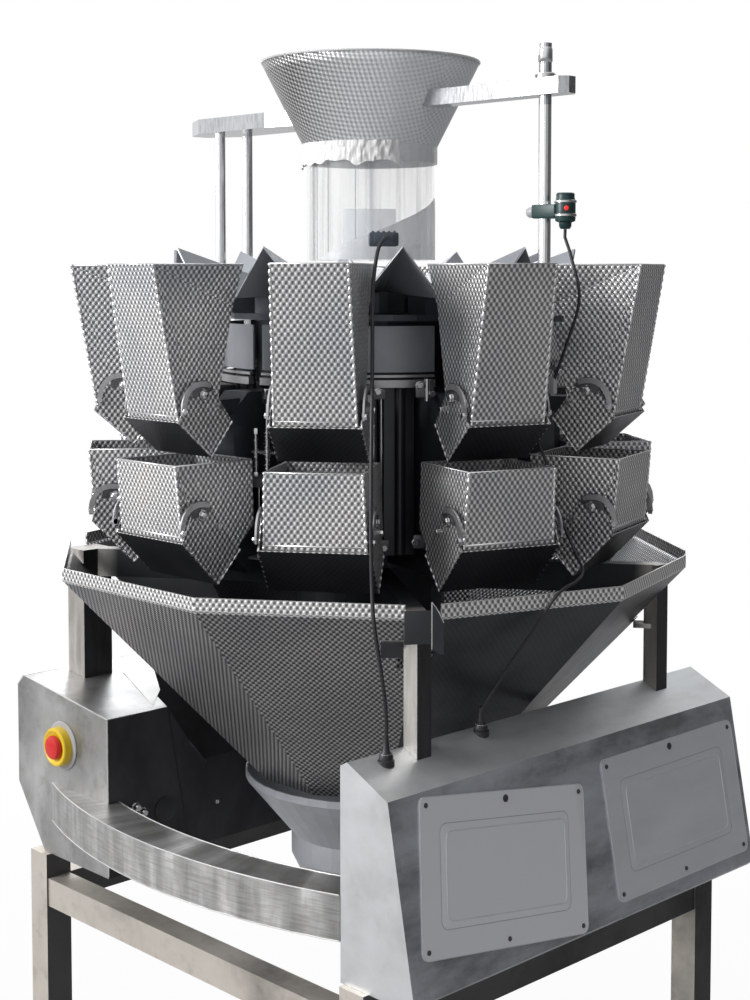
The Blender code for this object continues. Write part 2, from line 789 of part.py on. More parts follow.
def make_central_body():
    cone_bottom = CONE_RIM_DROP + CONE_EDGE
    disc_bottom = DISC_DROP + DISC_THICKNESS
    drum_bottom = disc_bottom + DRUM_HEIGHT
    flange_bottom = drum_bottom + FLANGE_THICKNESS
    profile = [
        (0.0, CONE_RIM_DROP - CONE_HEIGHT),
        (CONE_RADIUS, CONE_RIM_DROP),
        (CONE_RADIUS, cone_bottom),
        (CONE_NECK_RADIUS, cone_bottom + CONE_EDGE),
        (CONE_NECK_RADIUS, DISC_DROP),
        (DISC_RADIUS, DISC_DROP),
        (DISC_RADIUS, disc_bottom),
        (DRUM_RADIUS, disc_bottom),
        (DRUM_RADIUS, drum_bottom),
        (FLANGE_RADIUS, drum_bottom),
        (FLANGE_RADIUS, flange_bottom),
        (COLUMN_RADIUS, flange_bottom),
        (COLUMN_RADIUS, ARM_DROP - GAP),
        (0.0, ARM_DROP - GAP),
    ]
    body = turned("central_body", [(r, level(drop)) for r, drop in profile], DARK)
    pieces = []
    for number in range(HEADS):
        angle = head_angle(number)
        pieces += [drive_module(angle), feed_hanger(angle), vibrator(angle)]
    pieces.append(rod_shelf(math.pi, LEFT_ROD_R, LEFT_SHELF_HALF_WIDTH))
    pieces.append(rod_shelf(0.0, RIGHT_ROD_R, RIGHT_SHELF_HALF_WIDTH))
    return smooth(combine(body, pieces, "UNION"), 30.0)


# Feeder pans


def make_feeder_pans():
    """Ten troughs with a folded ridge between neighbours, as one crown."""
    corners = {}
    faces = []
    half_step = math.pi / HEADS
    for number in range(HEADS):
        turn = Matrix.Rotation(head_angle(number), 3, "Z")
        floor = {
            "in": (PAN_INNER_R, PAN_INNER_HALF_WIDTH, PAN_INNER_DROP),
            "end": (PAN_END_R, PAN_HALF_WIDTH, PAN_END_DROP),
            "lip": (PAN_TONGUE_R, PAN_HALF_WIDTH, pan_floor_drop(PAN_TONGUE_R)),
        }
        for key, (radius, half, drop) in floor.items():
            for side, tag in ((-1, "-"), (1, "+")):
                point = turn @ Vector((radius, side * half, level(drop)))
                corners[f"{key}{number}{tag}"] = tuple(point)
        ridge_turn = Matrix.Rotation(head_angle(number) + half_step, 3, "Z")
        for key, radius, drop in (
            ("ridge_in", PAN_INNER_R, PAN_RIDGE_INNER_DROP),
            ("ridge_out", PAN_RIDGE_R, -PAN_RIDGE_RISE),
        ):
            corners[f"{key}{number}"] = tuple(ridge_turn @ Vector((radius, 0.0, level(drop))))
    for n in range(HEADS):
        nxt = (n + 1) % HEADS
        faces.append((f"in{n}-", f"end{n}-", f"end{n}+", f"in{n}+"))
        faces.append((f"end{n}-", f"lip{n}-", f"lip{n}+", f"end{n}+"))
        faces.append((f"in{n}+", f"end{n}+", f"ridge_out{n}"))
        faces.append((f"in{n}+", f"ridge_out{n}", f"ridge_in{n}"))
        faces.append((f"ridge_in{n}", f"ridge_out{n}", f"end{nxt}-"))
        faces.append((f"ridge_in{n}", f"end{nxt}-", f"in{nxt}-"))
    item = shell("feeder_pans", corners, faces, SHEET, 0.0, PARTS)
    item.data.materials.append(BRUSHED)
    return item


# Infeed funnel, tube and their brackets


def collar_inner_r():
    return TUBE_RADIUS + GAP


def make_infeed_funnel():
    wall = FUNNEL_SHEET
    inner_r = collar_inner_r()
    outer_r = inner_r + wall * 2
    profile = [
        (FUNNEL_RIM_R, -FUNNEL_RIM_RISE),
        (outer_r, -FUNNEL_NECK_RISE),
        (outer_r, -COLLAR_END_RISE),
        (inner_r, -COLLAR_END_RISE),
        (inner_r, -TUBE_TOP_RISE - GAP),
        (TUBE_RADIUS - TUBE_WALL, -FUNNEL_NECK_RISE),
        (FUNNEL_RIM_R - wall * 2, -FUNNEL_RIM_RISE),
    ]
    item = turned("infeed_funnel", [(r, level(d)) for r, d in profile], DIMPLED, closed=True)
    return smooth(item)


def make_infeed_tube():
    inner = TUBE_RADIUS - TUBE_WALL
    top, end = level(-TUBE_TOP_RISE), level(-TUBE_END_RISE)
    profile = [(TUBE_RADIUS, top), (TUBE_RADIUS, end), (inner, end), (inner, top)]
    return smooth(turned("infeed_tube", profile, CLEAR, closed=True))


def funnel_space():
    """The funnel's outer form with the seat gap, to trim the brackets' ends."""
    slope = math.atan2(FUNNEL_RIM_R - TUBE_RADIUS, FUNNEL_RIM_RISE - FUNNEL_NECK_RISE)
    spread = GAP / math.cos(slope)
    neck_r = collar_inner_r() + FUNNEL_SHEET * 2
    profile = [
        (0.0, -FUNNEL_RIM_RISE),
        (FUNNEL_RIM_R + spread, -FUNNEL_RIM_RISE),
        (neck_r + spread, -FUNNEL_NECK_RISE),
        (0.0, -FUNNEL_NECK_RISE),
    ]
    return turned("funnel_space", [(r, level(d)) for r, d in profile], None, collection=CUTTERS)


def rod_seat():
    return level(DISC_DROP) + GAP


def make_left_bracket():
    """A folded arm with a blunt point, held by two chrome rods."""
    bottom = level(-LEFT_ARM_BOTTOM_RISE)
    half = LEFT_ARM_HALF_WIDTH
    neck = half * LEFT_ARM_NECK_SHARE
    point_start = half * LEFT_ARM_POINT_START_SHARE
    point = half * LEFT_ARM_POINT_SHARE
    outline = [
        (-TUBE_RADIUS, neck),
        (-TUBE_RADIUS * 2, half),
        (-LEFT_ROD_R - point_start, half),
        (-LEFT_ARM_END_R, point),
        (-LEFT_ARM_END_R, -point),
        (-LEFT_ROD_R - point_start, -half),
        (-TUBE_RADIUS * 2, -half),
        (-TUBE_RADIUS, -neck),
    ]
    arm = slab(
        "funnel_bracket_left", outline, bottom, bottom + LEFT_ARM_HEIGHT, "xy", CHROME
    )
    rods = [
        cylinder(
            "rod", (-LEFT_ROD_R, side * LEFT_ROD_HALF_SPACING, rod_seat()),
            (-LEFT_ROD_R, side * LEFT_ROD_HALF_SPACING, bottom + LEFT_ARM_HEIGHT / 2),
            ROD_RADIUS, collection=CUTTERS,
        )
        for side in (-1, 1)
    ]
    combine(arm, rods, "UNION")
    return smooth(combine(arm, [funnel_space()], "DIFFERENCE"))


def make_right_bracket():
    """A flat bar past one chrome rod, which stands up through it."""
    bottom = level(-RIGHT_BAR_BOTTOM_RISE)
    half = RIGHT_BAR_HALF_WIDTH
    point_start = half * RIGHT_BAR_POINT_START_SHARE
    point = half * RIGHT_BAR_POINT_SHARE
    outline = [
        (TUBE_RADIUS, -half),
        (RIGHT_BAR_END_R - point_start, -half),
        (RIGHT_BAR_END_R, -point),
        (RIGHT_BAR_END_R, point),
        (RIGHT_BAR_END_R - point_start, half),
        (TUBE_RADIUS, half),
    ]
    bar = slab(
        "funnel_bracket_right", outline, bottom, bottom + RIGHT_BAR_HEIGHT, "xy", CHROME
    )
    rod = cylinder(
        "rod", (RIGHT_ROD_R, 0, rod_seat()), (RIGHT_ROD_R, 0, level(-RIGHT_ROD_TOP_RISE)),
        ROD_RADIUS, collection=CUTTERS,
    )
    combine(bar, [rod], "UNION")
    return smooth(combine(bar, [funnel_space()], "DIFFERENCE"))


def make_level_sensor():
    """A clamp round the right rod, with the sensor outside it and its knob inside."""
    middle = level(-SENSOR_RISE)
    half = SENSOR_CLAMP_SIZE / 2
    tall = SENSOR_CLAMP_HEIGHT / 2
    item = block(
        "level_sensor", (RIGHT_ROD_R - half, -half, middle - tall),
        (SENSOR_R, half, middle + tall), SENSOR,
    )
    barrel = cylinder(
        "barrel", (SENSOR_R, 0, middle - SENSOR_LENGTH / 2), (SENSOR_R, 0, middle + SENSOR_LENGTH / 2),
        SENSOR_RADIUS, sides=20, collection=CUTTERS,
    )
    knob = cylinder(
        "knob", (RIGHT_ROD_R - half * SENSOR_KNOB_BITE_SHARE, 0, middle),
        (RIGHT_ROD_R - half - SENSOR_KNOB_LENGTH, 0, middle), SENSOR_KNOB_RADIUS,
        sides=12, collection=CUTTERS,
    )
    bore = cylinder(
        "bore", (RIGHT_ROD_R, 0, middle - tall * 2), (RIGHT_ROD_R, 0, middle + tall * 2),
        ROD_RADIUS + GAP * 2, collection=CUTTERS,
    )
    combine(item, [barrel, knob], "UNION")
    return smooth(combine(item, [bore], "DIFFERENCE"))


# Chute and discharge


def chute_ring(radius, drop):
    points = []
    for number in range(HEADS):
        angle = head_angle(number) + math.pi / HEADS
        points.append((radius * math.cos(angle), radius * math.sin(angle), level(drop)))
    return points


def make_collecting_chute():
    """A ten-sided cone with a vertical hem, slotted where the legs pass."""
    rings = [
        chute_ring(CHUTE_RIM_R, CHUTE_LIP_DROP),
        chute_ring(CHUTE_RIM_R, CHUTE_HEM_DROP),
        chute_ring(CHUTE_END_R, CHUTE_END_DROP),
    ]
    corners = {f"{row}_{i}": p for row, ring in enumerate(rings) for i, p in enumerate(ring)}
    faces = []
    for row in range(2):
        for i in range(HEADS):
            j = (i + 1) % HEADS
            faces.append((f"{row}_{i}", f"{row + 1}_{i}", f"{row + 1}_{j}", f"{row}_{j}"))
    item = shell("collecting_chute", corners, faces, CHUTE_SHEET, -1.0, PARTS)
    item.data.materials.append(DIMPLED)
    slots = []
    for side_x in (-1, 1):
        half = leg_of(side_x)["slot_half_width"]
        low = (chute_corner_r(SLOT_END_DROP) * HUB_SHARE, -half, level(SLOT_END_DROP))
        high = (CHUTE_RIM_R + SLOT_CUT_MARGIN, half, level(CHUTE_LIP_DROP - SLOT_CUT_MARGIN))
        for side_y in (-1, 1):
            slot = block("slot", low, high, None, CUTTERS)
            slots.append(turn_about_axis(slot, leg_angle(side_x, side_y)))
    return combine(item, slots, "DIFFERENCE")


def make_discharge_funnel():
    """The ring and double cone under the chute, hung from the two boxes."""
    wall = DISCHARGE_WALL
    rim = RING_TOP_DROP + RING_DEPTH
    profile = [
        (RING_RADIUS, RING_TOP_DROP),
        (RING_RADIUS, rim),
        (DISCHARGE_NECK_R, DISCHARGE_NECK_DROP),
        (DISCHARGE_NECK_R, DISCHARGE_COLLAR_DROP),
        (DISCHARGE_END_R, DISCHARGE_END_DROP),
        (DISCHARGE_END_R - wall, DISCHARGE_END_DROP),
        (DISCHARGE_NECK_R - wall, DISCHARGE_COLLAR_DROP),
        (DISCHARGE_NECK_R - wall, DISCHARGE_NECK_DROP),
        (RING_RADIUS - wall, rim),
        (RING_RADIUS - wall, RING_TOP_DROP),
    ]
    item = turned("discharge_funnel", [(r, level(d)) for r, d in profile], BRUSHED, closed=True)
    bite = RING_RADIUS - wall / 2
    low, high = level(RING_TOP_DROP + LUG_DEPTH), level(RING_TOP_DROP)
    lugs = [
        block("lug", (x0, -LUG_HALF_WIDTH, low), (x1, LUG_HALF_WIDTH, high), None, CUTTERS)
        for x0, x1 in ((GAP - RECESS_X, -bite), (bite, RIGHT_WALL_X - GAP))
    ]
    return smooth(combine(item, lugs, "UNION"))


# Control boxes and what is on them


def rounded_outline(length, height, radius, steps=3):
    points = []
    for sign_x, sign_y, start in ((1, 1, 0), (-1, 1, 90), (-1, -1, 180), (1, -1, 270)):
        centre = (sign_x * (length / 2 - radius), sign_y * (height / 2 - radius))
        for i in range(steps + 1):
            angle = math.radians(start + 90.0 * i / steps)
            points.append((
                centre[0] + radius * math.cos(angle), centre[1] + radius * math.sin(angle)
            ))
    return points


def cover_plate():
    """A cover plate lying in XY with its raised middle panel, back at z = 0."""
    outline = rounded_outline(COVER_LENGTH, COVER_HEIGHT, COVER_CORNER)
    plate = slab("cover_shape", outline, 0.0, COVER_THICKNESS, "xy", None, CUTTERS)
    rings = []
    for inset, z in (
        (COVER_PANEL_MARGIN, COVER_THICKNESS / 2),
        (COVER_PANEL_MARGIN, COVER_THICKNESS),
        (COVER_PANEL_MARGIN + COVER_SLOPE, COVER_THICKNESS + COVER_RAISED),
    ):
        flat = rounded_outline(COVER_LENGTH - 2 * inset, COVER_HEIGHT - 2 * inset, COVER_CORNER)
        rings.append([(x, y, z) for x, y in flat])
    panel = loft("panel", rings, None, CUTTERS)
    return bake(combine(plate, [panel], "UNION"))


def cover_plates():
    """Two like plates on the right box's leaning front; the left one hangs turned."""
    slope = math.atan2(RIGHT_FRONT_X - RIGHT_FOLD_X, RIGHT_FRONT_DROP - RIGHT_FOLD_DROP)
    normal = Vector((math.cos(slope), 0.0, math.sin(slope)))
    along = Vector((0.0, 1.0, 0.0))
    up = normal.cross(along)
    turn = Matrix((along, up, normal)).transposed().to_4x4()
    plates = []
    x = line_at(RIGHT_FOLD_DROP, RIGHT_FOLD_X, RIGHT_FRONT_DROP, RIGHT_FRONT_X, COVER_DROP)
    for y, spin, lift in (
        (RIGHT_COVER_Y, 0.0, 0.0), (LEFT_COVER_Y, -LEFT_COVER_TURN_DEG, LEFT_COVER_LIFT),
    ):
        plate = cover_plate()
        centre = Vector((x, y, level(COVER_DROP))) + up * lift - normal * GAP
        spun = Matrix.Rotation(math.radians(spin), 4, "Z")
        plate.data.transform(Matrix.Translation(centre) @ turn @ spun)
        plates.append(plate)
    return plates


def make_right_box():
    outline = [
        (RIGHT_WALL_X, BOX_END_DROP),
        (RIGHT_WALL_X, RIGHT_WALL_TOP_DROP),
        (RIGHT_PEAK_X, RIGHT_PEAK_DROP),
        (RIGHT_FOLD_X, RIGHT_FOLD_DROP),
        (RIGHT_FRONT_X, RIGHT_FRONT_DROP),
        (RIGHT_TOE_X, BOX_END_DROP),
    ]
    item = slab(
        "control_box_right", [(x, level(d)) for x, d in outline],
        -BOX_HALF_LENGTH, BOX_HALF_LENGTH, "xz", BRUSHED,
    )
    glands = []
    for x, y in (DROP_GLAND, SENSOR_GLAND):
        top = level(box_top_drop(x))
        glands.append(cylinder(
            "gland", (x, y, top - GLAND_HEIGHT), (x, y, top + GLAND_HEIGHT),
            GLAND_RADIUS, sides=12, collection=CUTTERS,
        ))
    return combine(item, glands + cover_plates(), "UNION")


def recess_cutter():
    """The space that the chute and the discharge ring take out of the left box."""
    deep = LEFT_WALL_X / 2
    rings = []
    for x, half, mouth, drop in (
        (RECESS_X, RECESS_HALF_LENGTH, RECESS_MOUTH_HALF_LENGTH, BOX_END_DROP + 0.05),
        (RECESS_X, RECESS_HALF_LENGTH, RECESS_MOUTH_HALF_LENGTH, RECESS_FOLD_DROP),
        (RECESS_TOP_X, RECESS_TOP_HALF_LENGTH, RECESS_TOP_MOUTH_HALF_LENGTH, RECESS_TOP_DROP),
    ):
        plan = [(-x, -half), (-deep, -mouth), (-deep, mouth), (-x, half)]
        rings.append([(px, py, level(drop)) for px, py in plan])
    return loft("recess", rings, None, CUTTERS)


def left_box_outline():
    return [
        (-LEFT_WALL_X, BOX_END_DROP),
        (-LEFT_WALL_X, LEFT_WALL_TOP_DROP),
        (LEFT_TOP_BEVEL - LEFT_OUTER_X, LEFT_OUTER_TOP_DROP),
        (-LEFT_OUTER_X, LEFT_OUTER_TOP_DROP + LEFT_TOP_BEVEL),
        (-LEFT_OUTER_X, LEFT_CHAMFER_DROP),
        (-LEFT_TOE_X, BOX_END_DROP),
    ]


def make_left_box():
    item = slab(
        "control_box_left", [(x, level(d)) for x, d in left_box_outline()],
        -BOX_HALF_LENGTH, BOX_HALF_LENGTH, "xz", BRUSHED,
    )
    return combine(item, [recess_cutter()], "DIFFERENCE")


def make_stop_button():
    """Bezel, ring, neck and mushroom button, on the near end of the left box."""
    ring_end = STOP_BEZEL_THICKNESS + STOP_RING_THICKNESS
    button_end = STOP_BUTTON_START + STOP_BUTTON_LENGTH
    profile = [
        (0.0, button_end),
        (STOP_BUTTON_R * STOP_FACE_SHARE, button_end),
        (STOP_BUTTON_R, button_end - STOP_BUTTON_LENGTH * STOP_ROUNDING_SHARE),
        (STOP_BUTTON_R, STOP_BUTTON_START),
        (STOP_NECK_R, STOP_BUTTON_START),
        (STOP_NECK_R, ring_end),
        (STOP_RING_R * STOP_RING_TOP_SHARE, ring_end),
        (STOP_RING_R, STOP_BEZEL_THICKNESS),
        (STOP_BEZEL_R, STOP_BEZEL_THICKNESS),
        (STOP_BEZEL_R, 0.0),
        (0.0, 0.0),
    ]
    item = turned("stop_button", profile, STOP, sides=28)
    item.data.transform(Matrix.Rotation(math.pi / 2, 4, "X"))
    item.location = (STOP_X, -BOX_HALF_LENGTH - GAP, level(STOP_DROP))
    return smooth(item)


# Arc tubes and stand


def arc_tube(name, side):
    """A bent square tube from the left box's end to the right box's inner wall."""
    inner = ARC_OUTER_R - ARC_WIDTH
    centre_y = math.sqrt(ARC_OUTER_R ** 2 - RIGHT_WALL_X ** 2) - ARC_SEAT_Y
    span = math.asin(min(0.99, LEFT_OUTER_X / ARC_OUTER_R))
    section = [
        (inner, ARC_TOP_DROP), (ARC_OUTER_R, ARC_TOP_DROP),
        (ARC_OUTER_R, ARC_TOP_DROP + ARC_HEIGHT), (inner, ARC_TOP_DROP + ARC_HEIGHT),
    ]
    rings = []
    for i in range(ARC_STEPS + 1):
        angle = -span + 2 * span * i / ARC_STEPS
        rings.append([
            (r * math.sin(angle), side * (r * math.cos(angle) - centre_y), level(d))
            for r, d in section
        ])
    item = loft(name, rings, BRUSHED)
    far = ARC_OUTER_R
    low, high = level(BOX_END_DROP + ARC_HEIGHT), level(ARC_TOP_DROP - ARC_HEIGHT)
    left = block(
        "left_space", (-far, -BOX_HALF_LENGTH - GAP, low),
        (-LEFT_WALL_X + GAP, BOX_HALF_LENGTH + GAP, high), None, CUTTERS,
    )
    right = block("right_space", (RIGHT_WALL_X - GAP, -far, low), (far, far, high), None, CUTTERS)
    return smooth(combine(item, [left, right], "DIFFERENCE"))


def make_stand():
    """Four legs under the boxes and a square of beams between them."""
    half = STAND_TUBE / 2
    top = level(BOX_END_DROP) - GAP
    beam_top, beam_end = level(BEAM_DROP), level(BEAM_DROP + BEAM_HEIGHT)
    reach = STAND_HALF_SIDE
    wide = BEAM_WIDTH / 2
    outer = [(-reach - wide, -reach - wide), (reach + wide, reach + wide)]
    item = block("stand", (*outer[0], beam_end), (*outer[1], beam_top), BRUSHED)
    clear = reach - wide
    hole = block(
        "hole", (-clear, -clear, beam_end - half), (clear, clear, beam_top + half), None, CUTTERS
    )
    combine(item, [hole], "DIFFERENCE")
    legs = []
    for x in (-reach, reach):
        for y in (-reach, reach):
            legs.append(block(
                "leg", (x - half, y - half, 0.0), (x + half, y + half, top), None, CUTTERS
            ))
    return combine(item, legs, "UNION")


# Cables




def smooth_route(points, count):
    """Points at even steps along a Catmull-Rom curve through the route's own points."""
    pts = [Vector(p) for p in points]
    padded = [pts[0] * 2 - pts[1], *pts, pts[-1] * 2 - pts[-2]]
    fine = []
    per_span = 24
    for i in range(1, len(padded) - 2):
        p0, p1, p2, p3 = padded[i - 1:i + 3]
        for k in range(per_span):
            t = k / per_span
            fine.append(0.5 * (
                2 * p1 + (p2 - p0) * t + (2 * p0 - 5 * p1 + 4 * p2 - p3) * t ** 2
                + (3 * p1 - p0 - 3 * p2 + p3) * t ** 3
            ))
    fine.append(pts[-1])
    lengths = [0.0]
    for a, b in zip(fine, fine[1:]):
        lengths.append(lengths[-1] + (b - a).length)
    even = []
    place = 0
    for n in range(count):
        target = lengths[-1] * n / (count - 1)
        while place < len(lengths) - 2 and lengths[place + 1] < target:
            place += 1
        share = (target - lengths[place]) / (lengths[place + 1] - lengths[place])
        even.append(fine[place].lerp(fine[place + 1], share))
    return even


def make_cable(name, route, radius, count):
    """A cable as a round tube along its route of (x, y, drop) points."""
    curve = bpy.data.curves.new(name, "CURVE")
    curve.dimensions = "3D"
    curve.bevel_depth = radius
    curve.bevel_resolution = 2
    curve.use_fill_caps = True
    points = smooth_route([(x, y, level(drop)) for x, y, drop in route], count)
    spline = curve.splines.new("POLY")
    spline.points.add(len(points) - 1)
    for target, point in zip(spline.points, points):
        target.co = (*point, 1.0)
    item = bpy.data.objects.new(name, curve)
    PARTS.objects.link(item)
    curve.materials.append(CABLE)
    return item


def connector_place():
    angle = math.radians(CONNECTOR_ANGLE_DEG)
    ridge_drop = line_at(
        PAN_INNER_R, PAN_RIDGE_INNER_DROP, PAN_RIDGE_R, -PAN_RIDGE_RISE,
        CONNECTOR_R + CONNECTOR_SIZE[0] / 2,
    )
    drop = ridge_drop - SHEET - GAP
    return angle, drop


def make_cable_connector():
    """The plug housing that lies on the ridge between two feeder pans."""
    angle, drop = connector_place()
    long, wide, tall = CONNECTOR_SIZE
    item = block(
        "cable_connector", (CONNECTOR_R - long / 2, -wide / 2, level(drop)),
        (CONNECTOR_R + long / 2, wide / 2, level(drop) + tall), CABLE,
    )
    return turn_about_axis(item, angle)


def make_drop_cable():
    """The black cable that hangs before the hoppers, from the plug to the right box."""
    angle, drop = connector_place()
    direction = Vector((math.cos(angle), math.sin(angle)))
    start_r = CONNECTOR_R + CONNECTOR_SIZE[0] / 2 + GAP
    start = direction * start_r
    lead = direction * (start_r + 0.008)
    bend = direction * (start_r + 0.016)
    middle = drop - CONNECTOR_SIZE[2] / 2
    gland_top = box_top_drop(DROP_GLAND[0]) - GLAND_HEIGHT - GAP
    route = [
        (start.x, start.y, middle),
        (lead.x, lead.y, middle),
        (bend.x, bend.y, middle),
        (0.287, -0.262, -0.020),
        (0.300, -0.285, 0.040),
        (0.322, -0.307, 0.110),
        (0.345, -0.330, 0.190),
        (0.364, -0.350, 0.270),
        (0.376, -0.362, 0.340),
        (0.384, -0.370, 0.410),
        (0.391, -0.375, 0.465),
        (0.397, -0.379, 0.495),
        (0.403, -0.380, 0.530),
        (0.408, -0.374, 0.580),
        (0.409, -0.366, 0.630),
        (0.407, -0.361, 0.666),
        (DROP_GLAND[0], DROP_GLAND[1], gland_top - 0.020),
        (DROP_GLAND[0], DROP_GLAND[1], gland_top - 0.010),
        (DROP_GLAND[0], DROP_GLAND[1], gland_top),
    ]
    return make_cable("drop_cable", route, DROP_CABLE_RADIUS, 76)


def make_sensor_cable():
    """The thinner cable from the level sensor down between two heads to the right box."""
    start_drop = -SENSOR_RISE + SENSOR_LENGTH / 2 + GAP
    gland_top = box_top_drop(SENSOR_GLAND[0]) - GLAND_HEIGHT - GAP
    route = [
        (SENSOR_R, 0.0, start_drop),
        (SENSOR_R, 0.0, start_drop + 0.007),
        (SENSOR_R, 0.0, start_drop + 0.014),
        (0.449, 0.0, -0.010),
        (0.465, 0.0, 0.055),
        (0.438, 0.0, 0.130),
        (0.412, 0.0, 0.190),
        (0.382, 0.0, 0.265),
        (0.404, 0.0, 0.320),
        (0.428, 0.0, 0.390),
        (0.466, -0.006, 0.448),
        (0.500, -0.030, 0.470),
        (0.5190, -0.070, 0.4790),
        (0.5225, -0.105, 0.4855),
        (0.520, -0.125, 0.500),
        (0.498, -0.142, 0.545),
        (0.462, -0.153, 0.600),
        (0.424, -0.156, 0.655),
        (SENSOR_GLAND[0], SENSOR_GLAND[1], gland_top - 0.020),
        (SENSOR_GLAND[0], SENSOR_GLAND[1], gland_top - 0.010),
        (SENSOR_GLAND[0], SENSOR_GLAND[1], gland_top),
    ]
    return make_cable("sensor_cable", route, SENSOR_CABLE_RADIUS, 76)


make_heads()
make_central_body()
make_leg_frame()
make_feeder_pans()
make_infeed_funnel()
make_infeed_tube()
make_left_bracket()
make_right_bracket()
make_level_sensor()
make_collecting_chute()
make_discharge_funnel()
make_right_box()
make_left_box()
make_stop_button()
arc_tube("arc_tube_front", -1)
arc_tube("arc_tube_back", 1)
make_stand()
make_cable_connector()
make_drop_cable()
make_sensor_cable()
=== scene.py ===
"""Looks of the ten-head multihead weigher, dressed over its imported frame.

Metres, +Z up, the origin on the floor under the machine's axis. Heights are drops below the
top edge of the feed hoppers, as in the part's source.
"""

import math

import bmesh
import bpy
from mathutils import Matrix, Vector, noise


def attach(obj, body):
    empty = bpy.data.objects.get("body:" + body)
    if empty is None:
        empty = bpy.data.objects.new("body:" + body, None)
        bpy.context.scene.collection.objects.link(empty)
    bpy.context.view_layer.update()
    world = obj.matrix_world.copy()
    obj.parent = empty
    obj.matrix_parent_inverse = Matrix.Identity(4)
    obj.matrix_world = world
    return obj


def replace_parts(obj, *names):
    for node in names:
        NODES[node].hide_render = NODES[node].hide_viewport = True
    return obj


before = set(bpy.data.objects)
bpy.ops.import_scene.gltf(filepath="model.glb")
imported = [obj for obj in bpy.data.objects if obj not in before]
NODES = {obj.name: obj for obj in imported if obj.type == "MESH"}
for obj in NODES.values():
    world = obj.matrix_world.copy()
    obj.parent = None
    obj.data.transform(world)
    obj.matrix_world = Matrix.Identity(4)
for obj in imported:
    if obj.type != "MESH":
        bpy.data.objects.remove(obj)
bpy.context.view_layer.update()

# Photograph's camera
LENS = 59.90
CAMERA_PLACE = (2.0942, -2.0221, 1.5335)
CAMERA_YAW_DEG = 45.85
CAMERA_PITCH_DEG = -3.61
CAMERA_SHIFT_Y = -0.12

# Studio. The surroundings brighten from the wall side to the open side, between two values of
# the cosine to it, by less for soft light than for what steel mirrors.
OPEN_SIDE = (-0.62, -0.62, 0.48)
WALL_FACING = -0.85
OPEN_FACING = 0.55
LIT_SOFT = (0.06, 0.66)
LIT_MIRRORED = (0.10, 1.0)
# The floor, the share of it that the camera sees as white, and where that rises to all of it
FLOOR_HEIGHT = -0.0005
FLOOR_REACH = 9.0
FLOOR_WHITE = 0.96
FLOOR_FADE = (0.9, 2.6)
# Lamps by place, size, power and tint, and what they look at
LAMP_AIM = (0.0, 0.0, 1.1)
LAMPS = (
    ("key", (-1.3, -3.4, 2.6), 1.6, 120.0, (1.0, 0.995, 0.985)),
    ("back", (-2.6, 2.4, 3.4), 2.2, 60.0, (0.95, 0.975, 1.0)),
)

# Layout shared with the part's source
HOPPER_TOP = 1.55
HEADS = 10
FIRST_HEAD_DEG = -90.0
SHEET = 0.0025
# A hopper's corners by radius, half width and drop, and its hinge by radius and drop
FEED = {
    "top": (0.512, 0.058, 0.0), "wall": (0.470, 0.0625, 0.240), "tip": (0.411, 0.0625, 0.292),
    "mouth": (0.3605, 0.0592, 0.065), "flare": (0.346, 0.070, 0.0),
}
WEIGH = {
    "top": (0.485, 0.074, 0.308), "wall": (0.475, 0.0775, 0.425), "tip": (0.412, 0.0775, 0.490),
    "back": (0.335, 0.0770, 0.410), "rear": (0.335, 0.074, 0.308),
}
FEED_PIVOT = (0.427, 0.201)
WEIGH_PIVOT = (0.443, 0.385)
GATE_SIDE_CLEARANCE = 0.005
GATE_SHEET = 0.002
GATE_SEAT = 0.003
GATE_LIP = 0.004
GATE_BACK_REACH = 0.066
PIN_RADIUS = 0.004
# The gap after this head shows rods on the column and no drives
OPEN_GAP = 1
LEG_ANGLE_DEG = 36.0

FUNNEL_RIM_R = 0.190
FUNNEL_RIM_RISE = 0.350
FUNNEL_NECK_RISE = 0.205
FUNNEL_SHEET = 0.0025
COLLAR_END_RISE = 0.175
TUBE_RADIUS = 0.111
TUBE_WALL = 0.004
TUBE_TOP_RISE = 0.195
TUBE_END_RISE = 0.008
TUBE_SIDES = 96
ROD_RADIUS = 0.010
RIGHT_ROD_R = 0.394
RIGHT_ROD_TOP_RISE = 0.345
LEFT_ARM_BOTTOM_RISE = 0.250
RIGHT_BAR_BOTTOM_RISE = 0.264
RIGHT_BAR_HEIGHT = 0.026
SENSOR_RISE = 0.083
SENSOR_RADIUS = 0.016
SENSOR_LENGTH = 0.056
SENSOR_R = 0.436
SENSOR_CLAMP_HALF = 0.015
SENSOR_CLAMP_REACH = 0.011

CHUTE_HEM_DROP = 0.510

BOX_HALF_LENGTH = 0.420
LEFT_WALL_X = 0.205
LEFT_WALL_TOP_DROP = 0.766
LEFT_OUTER_X = 0.482
LEFT_OUTER_TOP_DROP = 0.734
LEFT_TOP_BEVEL = 0.020
RIGHT_WALL_X = 0.372
ARC_SEAT_Y = 0.4212
ARC_OUTER_R = 1.041
ARC_WIDTH = 0.070
ARC_TOP_DROP = 0.911
ARC_HEIGHT = 0.068
# The right box's corners by x and drop, and its covers by place along it, turn and lift
RIGHT_PEAK = (0.386, 0.7126)
RIGHT_FOLD = (0.469, 0.752)
RIGHT_FRONT = (0.5215, 1.030)
COVERS = {"right": (0.225, 0.0, 0.0), "left": (-0.200, -8.75, 0.004)}
COVER_LENGTH = 0.360
COVER_HEIGHT = 0.225
COVER_THICKNESS = 0.004
COVER_PANEL_MARGIN = 0.040
COVER_DROP = 0.8975
SCREW_INSET = 0.012
COVER_PROUD = 0.0009
GLAND_HEIGHT = 0.014
DROP_GLAND = (0.405, -0.360)
SENSOR_GLAND = (0.400, -0.150)
STOP_X = -0.339
STOP_DROP = 0.837
GAP = 0.0003

